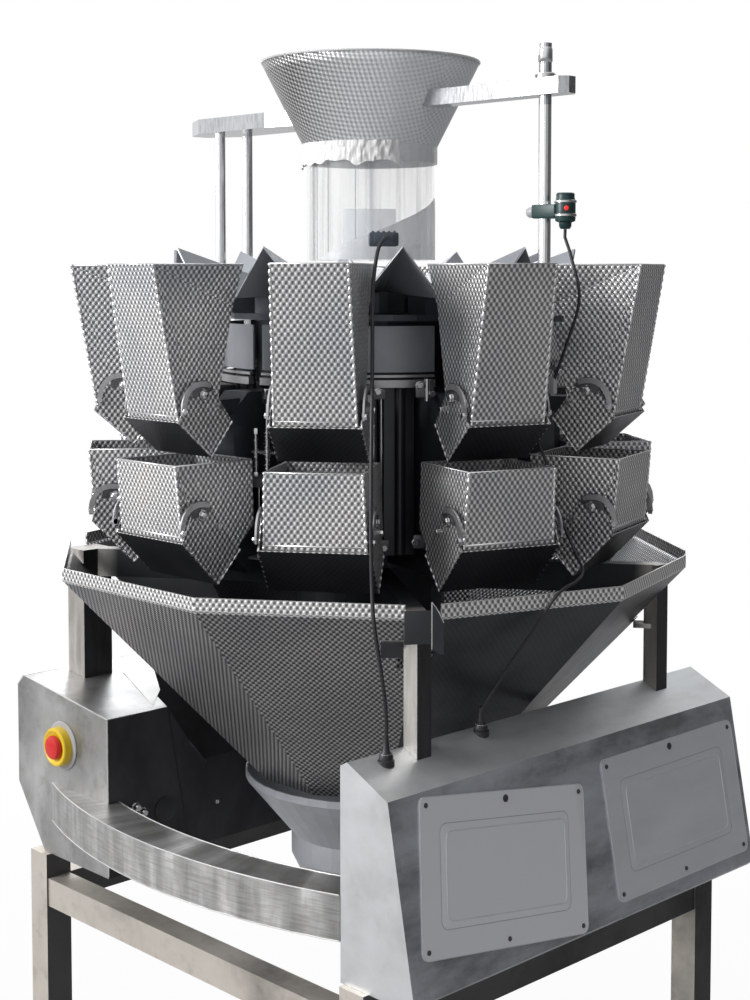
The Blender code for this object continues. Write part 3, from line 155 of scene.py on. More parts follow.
# Cables, and the ridge under the plug by radius and drop at its ends
DROP_CABLE_RADIUS = 0.003
SENSOR_CABLE_RADIUS = 0.0025
CABLE_POINTS = 76
CONNECTOR_ANGLE_DEG = -40.5
CONNECTOR_R = 0.334
CONNECTOR_SIZE = (0.028, 0.046, 0.026)
CONNECTOR_END_R = CONNECTOR_R + CONNECTOR_SIZE[0] / 2
CONNECTOR_RIBS = 5
PAN_RIDGE = (0.150, 0.042, 0.355, -0.027)

# Embossed sheet: distance of its dimples along and down the sheet, and their height
DIMPLE_ALONG = 0.0097
DIMPLE_DOWN = 0.0128
DIMPLE_HEIGHT = 0.0016
# How far a side painted with shade loses its colour and dimples, and the tints that stain sheet
# steel
SIDE_SHADE_SHARE = 0.97
WORN_TINT = (0.62, 0.60, 0.57)
UNTOUCHED = (1.0, 1.0, 1.0)


def level(drop):
    """Height over the floor of a drop below the hopper tops."""
    return HOPPER_TOP - drop


def on_circle(radius, angle, z):
    return (radius * math.cos(angle), radius * math.sin(angle), z)


def line_at(x0, y0, x1, y1, x):
    """The value at x of the straight line through two points."""
    return y0 + (y1 - y0) * (x - x0) / (x1 - x0)


def front_normal():
    """Outward from the right box's leaning front."""
    slope = math.atan2(RIGHT_FRONT[0] - RIGHT_FOLD[0], RIGHT_FRONT[1] - RIGHT_FOLD[1])
    return Vector((math.cos(slope), 0.0, math.sin(slope)))


def head_angle(number):
    return math.radians(FIRST_HEAD_DEG + 360.0 / HEADS * number)


# Camera


def make_camera():
    data = bpy.data.cameras.new("camera")
    data.lens = LENS
    data.sensor_width = 36.0
    data.shift_y = CAMERA_SHIFT_Y
    camera = bpy.data.objects.new("camera", data)
    bpy.context.scene.collection.objects.link(camera)
    camera.location = CAMERA_PLACE
    camera.rotation_euler = (
        math.radians(90.0 + CAMERA_PITCH_DEG), 0.0, math.radians(CAMERA_YAW_DEG)
    )
    bpy.context.scene.camera = camera


# Material building


class Tree:
    """A new material's nodes, or the world's, with short calls for the few used here."""

    def __init__(self, name, world=None):
        self.owner = world or bpy.data.materials.new(name)
        self.owner.use_nodes = True
        self.nodes = self.owner.node_tree.nodes
        self.links = self.owner.node_tree.links
        self.shader = self.nodes["Background" if world else "Principled BSDF"]

    def add(self, kind, **settings):
        node = self.nodes.new(kind)
        for key, value in settings.items():
            setattr(node, key, value)
        return node

    def put(self, socket, value):
        if isinstance(value, bpy.types.NodeSocket):
            self.links.new(value, socket)
        else:
            socket.default_value = value

    def maths(self, operation, a, b=0.0, c=0.0):
        node = self.add("ShaderNodeMath", operation=operation)
        for socket, value in zip(node.inputs, (a, b, c)):
            self.put(socket, value)
        return node.outputs[0]

    def scaled(self, value, factor, plus):
        """The value times the factor, and plus added."""
        return self.maths("MULTIPLY_ADD", value, factor, plus)

    def times(self, a, b):
        return self.maths("MULTIPLY", a, b)

    def blend(self, factor, a, b):
        """A number: a where the factor is 0 and b where it is 1."""
        node = self.add("ShaderNodeMix")
        for place, value in zip((0, 2, 3), (factor, a, b)):
            self.put(node.inputs[place], value)
        return node.outputs[0]

    def dot(self, a, b):
        return self.vector("DOT_PRODUCT", a, b)

    def vector(self, operation, a, b=(0.0, 0.0, 0.0)):
        node = self.add("ShaderNodeVectorMath", operation=operation)
        self.put(node.inputs[0], a)
        self.put(node.inputs[1], b)
        return node.outputs["Value" if operation == "DOT_PRODUCT" else "Vector"]

    def noise(self, place, scale, detail=3.0, roughness=0.5):
        node = self.add("ShaderNodeTexNoise")
        self.put(node.inputs["Vector"], place)
        node.inputs["Scale"].default_value = scale
        node.inputs["Detail"].default_value = detail
        node.inputs["Roughness"].default_value = roughness
        return node.outputs["Fac"]

    def ramp(self, factor, stops):
        node = self.add("ShaderNodeValToRGB")
        self.put(node.inputs["Fac"], factor)
        elements = node.color_ramp.elements
        while len(elements) < len(stops):
            elements.new(0.5)
        for element, (place, colour) in zip(elements, stops):
            element.position = place
            element.color = (*colour, 1.0) if isinstance(colour, tuple) else (colour,) * 3 + (1.0,)
        return node.outputs["Color"]

    def mix(self, factor, a, b, blend="MIX"):
        node = self.add("ShaderNodeMix", data_type="RGBA", blend_type=blend)
        self.put(node.inputs["Factor"], factor)
        self.put(node.inputs["A"], (*a, 1.0) if isinstance(a, tuple) else a)
        self.put(node.inputs["B"], (*b, 1.0) if isinstance(b, tuple) else b)
        return node.outputs["Result"]

    def bump(self, height, distance, strength=1.0, normal=None):
        node = self.add("ShaderNodeBump")
        node.inputs["Strength"].default_value = strength
        node.inputs["Distance"].default_value = distance
        self.put(node.inputs["Height"], height)
        if normal is not None:
            self.put(node.inputs["Normal"], normal)
        return node.outputs["Normal"]

    def place(self):
        return self.add("ShaderNodeTexCoord").outputs["Object"]

    def stretched(self, scale):
        return self.vector("MULTIPLY", self.place(), scale)

    def part(self, vector):
        """The three coordinates of a vector."""
        node = self.add("ShaderNodeSeparateXYZ")
        self.put(node.inputs[0], vector)
        return node.outputs

    def own_normal(self):
        """The flat face's normal in the piece's own frame."""
        turned = self.add(
            "ShaderNodeVectorTransform", vector_type="NORMAL", convert_from="WORLD",
            convert_to="OBJECT",
        )
        self.put(turned.inputs[0], self.add("ShaderNodeNewGeometry").outputs["True Normal"])
        return turned.outputs[0]

    def set(self, **inputs):
        for key, value in inputs.items():
            self.put(self.shader.inputs[key.replace("_", " ")], value)
        return self.owner


def clamped(tree, value, low, high):
    """0 at low to 1 at high."""
    node = tree.add("ShaderNodeMapRange")
    tree.put(node.inputs["Value"], value)
    node.inputs["From Min"].default_value = low
    node.inputs["From Max"].default_value = high
    return node.outputs[0]


def looking(tree, direction, low, high):
    """0 to 1 as a face turns towards a direction of the piece's own frame."""
    return clamped(tree, tree.dot(tree.own_normal(), direction), low, high)


def face_coordinates(tree):
    """Metres along and down each flat face, whichever way it leans, as (u, v)."""
    face = tree.own_normal()
    along = tree.vector("NORMALIZE", tree.vector("CROSS_PRODUCT", (0.0, 0.0, 1.0), face))
    down = tree.vector("CROSS_PRODUCT", face, along)
    place = tree.place()
    return tree.dot(place, along), tree.dot(place, down)


def map_coordinates(tree):
    """Metres on the flat sheet before it was rolled, from the piece's own UV map."""
    split = tree.part(tree.add("ShaderNodeTexCoord").outputs["UV"])
    return split["X"], split["Y"]


def dimple_height(tree, u, v):
    """0 in the troughs to 1 on the tops of the staggered dimples."""
    across = tree.maths("COSINE", tree.times(u, math.tau / DIMPLE_ALONG))
    down = tree.maths("COSINE", tree.times(v, math.tau / DIMPLE_DOWN))
    both = tree.scaled(tree.times(across, down), 0.5, 0.5)
    return tree.maths("SMOOTH_MIN", both, 0.92, 0.15)


def dimpled_steel(
    name, low=0.20, high=0.98, metallic=0.58, bright_over=None, shade_side=None,
):
    """Embossed sheet: painted shade in the troughs, painted highlights on the tops, pale over one
    height, and painted near-black shade, flat, on the faces turned to one side.
    """
    tree = Tree(name)
    height = dimple_height(tree, *face_coordinates(tree))
    place = tree.place()
    cloud = tree.noise(place, 7.0, 4.0)
    stain = tree.noise(place, 38.0, 5.0, 0.6)
    # Colour by dimple height: painted shade in the troughs, painted highlight on the tops.
    painted_dimple_light = tree.ramp(height, [(0.0, low), (0.35, low * 1.6), (0.75, high), (1.0, high * 1.15)])
    smudge = tree.ramp(cloud, [(0.3, (0.72, 0.74, 0.78)), (0.7, (1.0, 0.99, 0.98))])
    colour = tree.mix(1.0, painted_dimple_light, smudge, "MULTIPLY")
    if bright_over is not None:
        lip = tree.maths("GREATER_THAN", tree.part(place)["Z"], bright_over)
        pale = tree.ramp(height, [(0.0, 0.16), (0.35, 0.34), (0.70, 0.98), (1.0, 1.0)])
        colour = tree.mix(lip, colour, pale)
    relief = 1.0
    # Painted shade: faces turned to the given side go near black and flat, except over the pale
    # height.
    if shade_side is not None:
        side_shade = looking(tree, shade_side, 0.34, 0.48)
        if bright_over is not None:
            side_shade = tree.times(side_shade, tree.maths("SUBTRACT", 1.0, lip))
        dull = tree.ramp(cloud, [(0.3, (0.020, 0.022, 0.026)), (0.7, (0.060, 0.063, 0.070))])
        colour = tree.mix(tree.times(side_shade, SIDE_SHADE_SHARE), colour, dull)
        relief = tree.scaled(side_shade, -SIDE_SHADE_SHARE, 1.0)
    return tree.set(
        Base_Color=colour, Metallic=metallic,
        Roughness=tree.scaled(stain, 0.18, 0.24),
        Normal=tree.bump(tree.times(height, relief), DIMPLE_HEIGHT),
    )


def rolled_steel(name, bright_side):
    """The rolled funnel's embossed sheet, painted pale as light on the side of one direction and
    dark as shade on the rest, with painted shade in the troughs and painted highlights on the tops.
    """
    tree = Tree(name)
    height = dimple_height(tree, *map_coordinates(tree))
    place = tree.place()
    stain = tree.noise(place, 38.0, 5.0, 0.6)
    # Painted light: pale on the side towards bright_side, dark as painted shade on the rest; both
    # ramps also paint shade in the troughs and highlights on the tops.
    lit_side_share = clamped(tree, tree.dot(place, bright_side), -0.13, 0.03)
    dark = tree.ramp(height, [(0.0, 0.07), (0.35, 0.15), (0.75, 0.52), (1.0, 0.66)])
    pale = tree.ramp(height, [
        (0.0, (0.66, 0.69, 0.74)), (0.35, (0.84, 0.87, 0.92)), (0.75, 1.0), (1.0, 1.0),
    ])
    low = tree.times(height, tree.scaled(lit_side_share, -0.45, 1.0))
    return tree.set(
        Base_Color=tree.mix(lit_side_share, dark, pale),
        Metallic=tree.scaled(lit_side_share, -0.62, 0.62),
        Roughness=tree.scaled(stain, 0.18, 0.24),
        Normal=tree.bump(low, DIMPLE_HEIGHT),
    )


def sheet_steel(
    name, tint, rough, streaks=(2.0, 2.0, 90.0), dirt=0.35, scratch=0.00004, dark_shade_side=None,
    metallic=0.88,
):
    """Brushed sheet, or sheet smoothed by rubbing, with faint grain, smudges and darker patches,
    and, where a side is given, painted dark shade on the faces turned to it.
    """
    tree = Tree(name)
    place = tree.place()
    grain = tree.noise(tree.stretched(streaks), 6.0, 3.0)
    cloud = tree.noise(place, 4.0, 6.0, 0.62)
    spots = tree.noise(place, 26.0, 6.0, 0.7)
    base = tree.ramp(cloud, [
        (0.32, tuple(c * (1.0 - dirt) for c in tint)), (0.52, tint),
        (0.74, tuple(min(1.0, c * 1.12) for c in tint)),
    ])
    dull = tree.ramp(spots, [(0.30, WORN_TINT), (0.46, UNTOUCHED)])
    colour = tree.mix(dirt, base, tree.mix(1.0, base, dull, "MULTIPLY"))
    # Painted shade: faces turned to the given side are darkened.
    if dark_shade_side is not None:
        side = looking(tree, dark_shade_side, 0.60, 0.90)
        colour = tree.mix(side, colour, tree.mix(1.0, colour, (0.17, 0.18, 0.20), "MULTIPLY"))
    fine = tree.scaled(grain, 0.14, rough - 0.07)
    roughness = tree.scaled(spots, 0.16, fine)
    return tree.set(
        Base_Color=colour, Metallic=metallic, Roughness=roughness,
        Normal=tree.bump(grain, scratch, 0.6, tree.bump(cloud, 0.0015, 0.25)),
    )


def left_box_steel(name):
    """Rubbed steel with bright patches; the wall towards the chute is painted nearly black as
    shade.
    """
    tree = Tree(name)
    place = tree.place()
    grain = tree.noise(tree.stretched((40.0, 40.0, 5.0)), 5.0, 3.0)
    cloud = tree.noise(tree.stretched((1.0, 1.0, 0.6)), 11.0, 5.0, 0.55)
    spots = tree.noise(place, 30.0, 6.0, 0.7)
    steel = tree.ramp(cloud, [(0.30, 0.34), (0.48, 0.45), (0.60, 0.54), (0.74, 0.70)])
    dull = tree.ramp(spots, [(0.34, (0.58, 0.57, 0.55)), (0.50, UNTOUCHED)])
    steel = tree.mix(0.45, steel, tree.mix(1.0, steel, dull, "MULTIPLY"))
    # Painted shade: near-black colour for the faces towards +X, the wall under the chute.
    black = tree.ramp(cloud, [(0.35, (0.030, 0.030, 0.034)), (0.75, (0.072, 0.073, 0.080))])
    inner = looking(tree, (1.0, 0.0, 0.0), 0.35, 0.60)
    rough = tree.scaled(spots, 0.14, 0.30)
    return tree.set(
        Base_Color=tree.mix(inner, steel, black),
        Metallic=tree.scaled(inner, -0.4, 0.86),
        Roughness=tree.scaled(inner, 0.18, rough),
        Normal=tree.bump(grain, 0.00005, 0.6, tree.bump(cloud, 0.0020, 0.30)),
    )


def arc_steel(name):
    """Bent tube with light and dark bands across it, painted as the reflections its planished face
    throws.
    """
    tree = Tree(name)
    split = tree.part(tree.place())
    away = tree.maths("ADD", tree.maths("ABSOLUTE", split["Y"]), 0.05)
    row = tree.add("ShaderNodeCombineXYZ")
    tree.put(row.inputs["X"], tree.times(tree.maths("ARCTAN2", split["X"], away), 9.0))
    tree.put(row.inputs["Y"], tree.times(split["Z"], 3.0))
    bands = tree.noise(row.outputs[0], 1.6, 4.0, 0.5)
    fine = tree.noise(tree.stretched((1.0, 1.0, 14.0)), 26.0, 4.0)
    # Painted reflection: light and dark bands across the tube.
    steel = tree.ramp(bands, [(0.30, 0.36), (0.46, 0.50), (0.58, 0.66), (0.70, 0.92)])
    scuff = tree.ramp(fine, [(0.35, (0.78, 0.77, 0.75)), (0.60, UNTOUCHED)])
    return tree.set(
        Base_Color=tree.mix(1.0, steel, scuff, "MULTIPLY"), Metallic=0.80,
        Roughness=tree.scaled(fine, 0.16, 0.26),
        Normal=tree.bump(fine, 0.00005, 0.6, tree.bump(bands, 0.002, 0.3)),
    )


def box_with_covers(name):
    """The right box's steel, painted lighter on its top as light and darker on its faces towards +X
    as shade, its end towards -Y evened to a smooth grey, and satin grey on what stands proud of its
    leaning front.
    """
    tree = Tree(name)
    place = tree.place()
    normal = front_normal()
    front = normal.dot(Vector((RIGHT_FOLD[0], 0.0, level(RIGHT_FOLD[1]))))
    cover = tree.maths("GREATER_THAN", tree.dot(place, normal), front + COVER_PROUD)
    grain = tree.noise(tree.stretched((3.0, 60.0, 3.0)), 6.0, 3.0)
    cloud = tree.noise(tree.stretched((3.0, 1.0, 3.0)), 4.0, 6.0, 0.62)
    spots = tree.noise(place, 26.0, 6.0, 0.7)
    steel = tree.ramp(cloud, [
        (0.34, (0.34, 0.35, 0.36)), (0.50, (0.62, 0.65, 0.69)), (0.66, (0.78, 0.82, 0.86)),
    ])
    dull = tree.ramp(spots, [(0.30, WORN_TINT), (0.46, UNTOUCHED)])
    steel = tree.mix(0.5, steel, tree.mix(1.0, steel, dull, "MULTIPLY"))
    # Painted light on the top faces, painted shade on the faces towards +X, and the end towards -Y
    # evened to a smooth grey.
    top = looking(tree, (0.0, 0.0, 1.0), 0.35, 0.75)
    front_shade = looking(tree, (1.0, 0.0, 0.0), 0.60, 0.90)
    steel = tree.mix(front_shade, steel, tree.mix(1.0, steel, (0.74, 0.74, 0.76), "MULTIPLY"))
    steel = tree.mix(tree.times(top, 0.62), steel, (0.97, 0.99, 1.0))
    end = looking(tree, (0.0, -1.0, 0.0), 0.60, 0.90)
    steel = tree.mix(tree.times(end, 0.70), steel, (0.70, 0.71, 0.72))
    grey = tree.ramp(cloud, [(0.3, (0.57, 0.58, 0.62)), (0.7, (0.66, 0.67, 0.72))])
    left = clamped(tree, tree.dot(place, (0.0, -1.0, 0.0)), 0.0, 0.03)
    rough = tree.scaled(grain, 0.14, 0.34)
    rough = tree.scaled(spots, 0.14, rough)
    return tree.set(
        Base_Color=tree.mix(cover, steel, tree.mix(left, grey, (0.80, 0.81, 0.86))),
        Metallic=tree.scaled(cover, -0.55, 0.88),
        Roughness=tree.scaled(cover, 0.06, rough),
        Normal=tree.bump(grain, 0.00004, 0.6, tree.bump(cloud, 0.0015, 0.25)),
    )


def leg_steel(name):
    """Legs and arms: pale steel showing wear outside, painted near black as shade under the machine
    and on the faces towards +X.
    """
    tree = Tree(name)
    split = tree.part(tree.place())
    square = tree.scaled(split["X"], split["X"], tree.times(split["Y"], split["Y"]))
    radius = tree.maths("SQRT", square)
    # Painted shade: near black inside the legs' radius, where the arms run under the machine.
    outer = tree.maths("SMOOTH_MIN", tree.scaled(radius, 40.0, -18.4), 1.0, 0.2)
    outer = tree.maths("MAXIMUM", outer, 0.0)
    cloud = tree.noise(tree.stretched((20.0, 20.0, 3.0)), 3.0, 6.0, 0.62)
    pale = tree.ramp(cloud, [(0.3, (0.34, 0.32, 0.30)), (0.7, (0.56, 0.54, 0.52))])
    # Painted shade: darker on the faces towards +X.
    side = looking(tree, (1.0, 0.0, 0.0), 0.60, 0.90)
    pale = tree.mix(side, pale, tree.mix(1.0, pale, (0.12, 0.125, 0.14), "MULTIPLY"))
    return tree.set(
        Base_Color=tree.mix(outer, (0.05, 0.055, 0.06), pale), Metallic=0.8,
        Roughness=tree.scaled(cloud, 0.25, 0.36),
    )


def chrome(name, tint=(0.80, 0.81, 0.83), rough=0.10, dull_from=None):
    """Polished steel, duller and greyer from the height dull_from up."""
    tree = Tree(name)
    marks = tree.noise(tree.stretched((30.0, 30.0, 6.0)), 8.0, 4.0)
    colour = tree.ramp(marks, [(0.3, tuple(c * 0.86 for c in tint)), (0.6, tint)])
    if dull_from is not None:
        bars = clamped(tree, tree.part(tree.place())["Z"], dull_from, dull_from + 0.001)
        dull = tree.ramp(marks, [(0.3, (0.44, 0.45, 0.47)), (0.6, (0.60, 0.61, 0.64))])
        colour = tree.mix(bars, colour, dull)
    return tree.set(
        Base_Color=colour, Metallic=1.0, Roughness=tree.scaled(marks, 0.12, rough),
    )


def plastic(name, tint, rough, grain=0.0002, metallic=0.0, scale=240.0):
    """Moulded plastic, rubber or paint with a fine grain and slight wear."""
    tree = Tree(name)
    place = tree.place()
    fine = tree.noise(place, scale, 2.0)
    cloud = tree.noise(place, 18.0, 4.0)
    colour = tree.ramp(cloud, [(0.3, tuple(c * 0.8 for c in tint)), (0.7, tint)])
    return tree.set(
        Base_Color=colour, Metallic=metallic,
        Roughness=tree.scaled(cloud, 0.15, rough - 0.07),
        Normal=tree.bump(fine, grain, 0.5),
    )


def clear_plastic(
    name, tint=(0.93, 0.95, 0.96), rough=0.04, alpha=0.22, haze=0.25, streaks=0.0, crinkle=0.0003,
):
    """Thin clear sheet: mostly see-through, with scuffs, upright streaks or creases."""
    tree = Tree(name)
    scuffs = tree.noise(tree.stretched((3.0, 3.0, 0.6)), 12.0, 5.0, 0.6)
    through = tree.scaled(scuffs, haze, alpha - haze / 2)
    colour = (*tint, 1.0)
    if streaks:
        lines = tree.noise(tree.stretched((1.0, 1.0, 0.03)), 46.0, 2.0, 0.7)
        line = clamped(tree, lines, 0.54, 0.70)
        through = tree.scaled(line, streaks, through)
        colour = tree.mix(line, tint, (0.42, 0.43, 0.45))
    creases = tree.noise(tree.stretched((1.0, 1.0, 1.4)), 42.0, 5.0, 0.65)
    return tree.set(
        Base_Color=colour, Roughness=tree.scaled(scuffs, 0.2, rough),
        Alpha=through, IOR=1.45, Normal=tree.bump(creases, crinkle, 0.8),
    )


def glow(name, tint, strength):
    tree = Tree(name)
    speck = tree.noise(tree.place(), 300.0, 1.0)
    colour = tree.ramp(speck, [(0.3, tuple(c * 0.8 for c in tint)), (0.7, tint)])
    return tree.set(Base_Color=colour, Emission_Color=(*tint, 1.0), Emission_Strength=strength)


DIMPLED = dimpled_steel("dimpled_steel_look")
# The gates' copy is a little darker than the hoppers' steel, and their undersides are painted
# near-black shade.
DIMPLED_GATE = dimpled_steel("dimpled_steel_gate", 0.13, 0.80, shade_side=(0.0, 0.0, -1.0))
DIMPLED_ROLLED = rolled_steel("dimpled_steel_rolled", (0.70, 0.72, 0.0))
# The chute's copy is darker than the hoppers' steel all over, as painted shade, but keeps about the
# hoppers' tones over the hem's height; its faces towards +X and a little +Y are painted near-black
# shade.
DIMPLED_CHUTE = dimpled_steel(
    "dimpled_steel_chute", 0.055, 0.52, 0.72, level(CHUTE_HEM_DROP + 0.004), (0.951, 0.309, 0.0)
)
BEAD = sheet_steel("fold_bright", (0.80, 0.80, 0.81), 0.26, dirt=0.15)
BOX_STEEL = left_box_steel("box_steel")
ARC_STEEL = arc_steel("arc_steel")
# Bright steel for ground welds, whose brightness also paints the highlights along the box, arc tube
# and slot edges.
WELD_AND_HIGHLIGHT = sheet_steel("weld_and_edge_highlight", (0.86, 0.86, 0.85), 0.24, (60.0, 60.0, 60.0), 0.3, 0.0004)
# Near-white look for the plate that paints the reflection at the recess's mouth.
PALE_REFLECTION_LOOK = sheet_steel("pale_reflection", (0.93, 0.93, 0.92), 0.34, dirt=0.12, metallic=0.25)
# Grey bead in the crease round a cover's panel: painted shade.
COVER_CREASE_SHADE = plastic("cover_crease", (0.40, 0.41, 0.45), 0.40, 0.0001, 0.3)
DARK_SCREW = chrome("dark_screw", (0.10, 0.105, 0.12), 0.30)
# Pale beads on a cover's rim and panel edge: painted highlights.
COVER_EDGE_HIGHLIGHT = plastic("cover_edge_highlight", (0.74, 0.75, 0.80), 0.34, 0.0001, 0.3)
# The stand's faces towards +X are painted dark as shade.
STAND_STEEL = sheet_steel(
    "stand_steel", (0.64, 0.60, 0.55), 0.46, (50.0, 50.0, 2.0), 0.45, dark_shade_side=(1.0, 0.0, 0.0)
)
PAN_STEEL = sheet_steel(
    "pan_steel", (0.44, 0.46, 0.50), 0.32, (20.0, 20.0, 4.0), 0.2, metallic=0.45
)
DRIVE_DARK = plastic("drive_dark_look", (0.075, 0.078, 0.086), 0.34, 0.0002, 0.70, 90.0)
DARK_STEEL = plastic("dark_body", (0.085, 0.093, 0.110), 0.36, 0.0002, 0.60, 120.0)
HINGE_DARK = sheet_steel("hinge_dark", (0.17, 0.17, 0.18), 0.36, (9.0, 9.0, 9.0), 0.6)
DRUM_GREY = plastic("drum_grey", (0.30, 0.32, 0.35), 0.40, 0.0001, 0.35, 60.0)
LEVER_STEEL = sheet_steel("lever_steel", (0.50, 0.50, 0.52), 0.30, (9.0, 9.0, 9.0), 0.3)
CHROME = chrome("chrome_look")
BRACKET_STEEL = chrome(
    "bracket_steel", (0.92, 0.93, 0.95), 0.12, level(-LEFT_ARM_BOTTOM_RISE) - 0.001
)
BRIGHT_STEEL = chrome("bolt_steel", (0.66, 0.66, 0.67), 0.16)
BOX_WITH_COVERS = box_with_covers("box_with_covers")
LEG_STEEL = leg_steel("leg_steel")
CLEAR = clear_plastic("clear_tube_look", alpha=0.10, haze=0.14, streaks=0.20)
FILM = clear_plastic("film_look", (0.92, 0.93, 0.95), 0.12, 0.66, 0.5, crinkle=0.004)
PALE_SHEET = clear_plastic("pale_sheet_look", (0.84, 0.86, 0.89), 0.10, 0.60, 0.5, crinkle=0.0020)
CRUMPLED = clear_plastic("crumpled_film", (0.97, 0.97, 0.97), 0.14, 0.86, 0.4, crinkle=0.003)
TUBE_SHADE = clear_plastic("tube_shade", (0.30, 0.31, 0.33), 0.10, 0.62, 0.4)
CABLE_BLACK = plastic("cable_black_look", (0.018, 0.019, 0.022), 0.42)
CONNECTOR_GREY = plastic("connector_grey", (0.06, 0.075, 0.10), 0.40)
SENSOR_GREEN = plastic("sensor_green_look", (0.012, 0.050, 0.052), 0.38)
KNOB_PALE = plastic("knob_pale", (0.55, 0.56, 0.57), 0.35)
STOP_YELLOW = plastic("stop_yellow", (0.80, 0.55, 0.02), 0.35)
STOP_RED = plastic("stop_red", (0.62, 0.020, 0.018), 0.28)
BEZEL_GREY = plastic("bezel_grey", (0.42, 0.42, 0.42), 0.30)
TAG_GREY = plastic("tag_grey", (0.52, 0.53, 0.55), 0.5)
BAND_BLUE = clear_plastic("band_blue", (0.74, 0.79, 0.86), 0.12, 0.36, 0.2)
RED_LIGHT = glow("sensor_light", (0.75, 0.03, 0.02), 0.8)


# Shapes

THINNEST = 0.00001
SHARP_DEG = 32.0


class Piece:
    """Gathers shapes into one mesh that rides on one body."""

    def __init__(self, matrix=None):
        self.bm = bmesh.new()
        self.matrix = matrix or Matrix.Identity(4)

    def strip(self, rows, closed=False, ends=False):
        """Quads between rows of as many points each, round or open."""
        made = [[self.bm.verts.new(self.matrix @ Vector(p)) for p in row] for row in rows]
        span = len(rows[0]) if closed else len(rows[0]) - 1
        for low, high in zip(made, made[1:]):
            for i in range(span):
                j = (i + 1) % len(low)
                self.bm.faces.new((low[i], low[j], high[j], high[i]))
        if ends:
            self.bm.faces.new(list(reversed(made[0])))
            self.bm.faces.new(made[-1])
        return made

    def tube(self, points, radius, sides=8, closed=False):
        """A round bar along points. radius is a number, or one for each point."""
        pts = [Vector(p) for p in points]
        radii = radius if isinstance(radius, (list, tuple)) else [radius] * len(pts)
        rows = []
        side = None
        for i, point in enumerate(pts):
            before = pts[i - 1] if i or closed else point
            after = pts[(i + 1) % len(pts)] if i + 1 < len(pts) or closed else point
            ahead = (after - before).normalized()
            if side is None:
                side = ahead.orthogonal().normalized()
            side = (side - ahead * side.dot(ahead)).normalized()
            other = ahead.cross(side)
            turns = [math.tau * k / sides for k in range(sides)]
            rows.append([
                point + (side * math.cos(turn) + other * math.sin(turn)) * radii[i]
                for turn in turns
            ])
        if closed:
            rows.append(rows[0])
        self.strip(rows, closed=True, ends=not closed)

    def turned(self, profile, axis=None, sides=32, start=0.0, end=math.tau):
        """A profile of (radius, height) turned about the axis of a matrix."""
        axis = axis or Matrix.Identity(4)
        full = abs(end - start - math.tau) < 0.0001
        count = sides if full else sides + 1
        rows = []
        turns = [start + (end - start) * k / sides for k in range(count)]
        for radius, height in profile:
            r = max(radius, THINNEST)
            rows.append([
                axis @ Vector((r * math.cos(turn), r * math.sin(turn), height)) for turn in turns
            ])
        self.strip(rows, closed=full, ends=full and profile[0] != profile[-1])

    def block(self, low, high, bevel):
        """A box between two corners, with its edges eased."""
        low, high = Vector(low), Vector(high)
        made = bmesh.ops.create_cube(self.bm, size=1.0)["verts"]
        for vert in made:
            spot = vert.co * (high - low) + (low + high) / 2
            vert.co = self.matrix @ spot
        edges = list({edge for vert in made for edge in vert.link_edges})
        bmesh.ops.bevel(
            self.bm, geom=edges, offset=bevel, segments=2, affect="EDGES", profile=0.6
        )

    def blocks(self, table):
        """Boxes by low corner, high corner and bevel, with drops in place of heights."""
        for (x0, y0, end), (x1, y1, top), bevel in table:
            self.block((x0, y0, level(end)), (x1, y1, level(top)), bevel)

    def upright(self, x, y, top, end, radius, sides=12):
        """A round bar from one drop to another."""
        self.tube([(x, y, level(top)), (x, y, level(end))], radius, sides)

    def hexagon(self, centre, direction, width, height):
        """A bolt head or nut with chamfered corners."""
        r = width / math.sqrt(3.0)
        self.turned(
            [(0.0, 0.0), (r, 0.0), (r, height * 0.8), (r * 0.86, height), (0.0, height)],
            pointing(centre, direction), 6,
        )

    def screw(self, centre, direction, radius, height):
        """A round-headed screw on a washer."""
        self.turned([
            (0.0, 0.0), (radius * 1.5, 0.0), (radius * 1.5, height * 0.2), (radius, height * 0.25),
            (radius * 0.95, height * 0.6), (radius * 0.6, height * 0.95), (radius * 0.35, height),
            (radius * 0.3, height * 0.5), (0.0, height * 0.5),
        ], pointing(centre, direction), 16)

    def mesh(self, name, material, sharp_deg=SHARP_DEG):
        """The shapes gathered so far as one mesh, which several objects may share."""
        bmesh.ops.recalc_face_normals(self.bm, faces=self.bm.faces)
        mesh = bpy.data.meshes.new(name)
        self.bm.to_mesh(mesh)
        self.bm.free()
        mesh.shade_smooth()
        if sharp_deg is not None:
            mesh.set_sharp_from_angle(angle=math.radians(sharp_deg))
        mesh.materials.append(material)
        return mesh

    def make(self, name, material, slot=None, body="base", sharp_deg=SHARP_DEG):
        return show(name, self.mesh(name, material, sharp_deg), body)


def show(name, mesh, body="base", place=None):
    item = bpy.data.objects.new(name, mesh)
    bpy.context.scene.collection.objects.link(item)
    if place is not None:
        item.matrix_world = place
    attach(item, body)
    return item


def lathe(name, look, slot, profile, axis, sides):
    """A piece that is one profile turned about an axis."""
    piece = Piece()
    piece.turned(profile, axis, sides)
    return piece.make(name, look, slot)


def pointing(centre, direction):
    """A matrix at the centre whose Z looks along the direction."""
    turn = Vector(direction).to_track_quat("Z", "Y").to_matrix().to_4x4()
    return Matrix.Translation(Vector(centre)) @ turn


def pointing_out(centre):
    """A matrix at the centre whose Z looks along +X."""
    return Matrix.Translation(centre) @ Matrix.Rotation(math.pi / 2, 4, "Y")


def head_matrix(number):
    return Matrix.Rotation(head_angle(number), 4, "Z")


def between_matrix(number):
    return Matrix.Rotation(head_angle(number) + math.pi / HEADS, 4, "Z")


def corner(table, key, side):
    r, half, drop = table[key]
    return Vector((r, side * half, level(drop)))


# Cables


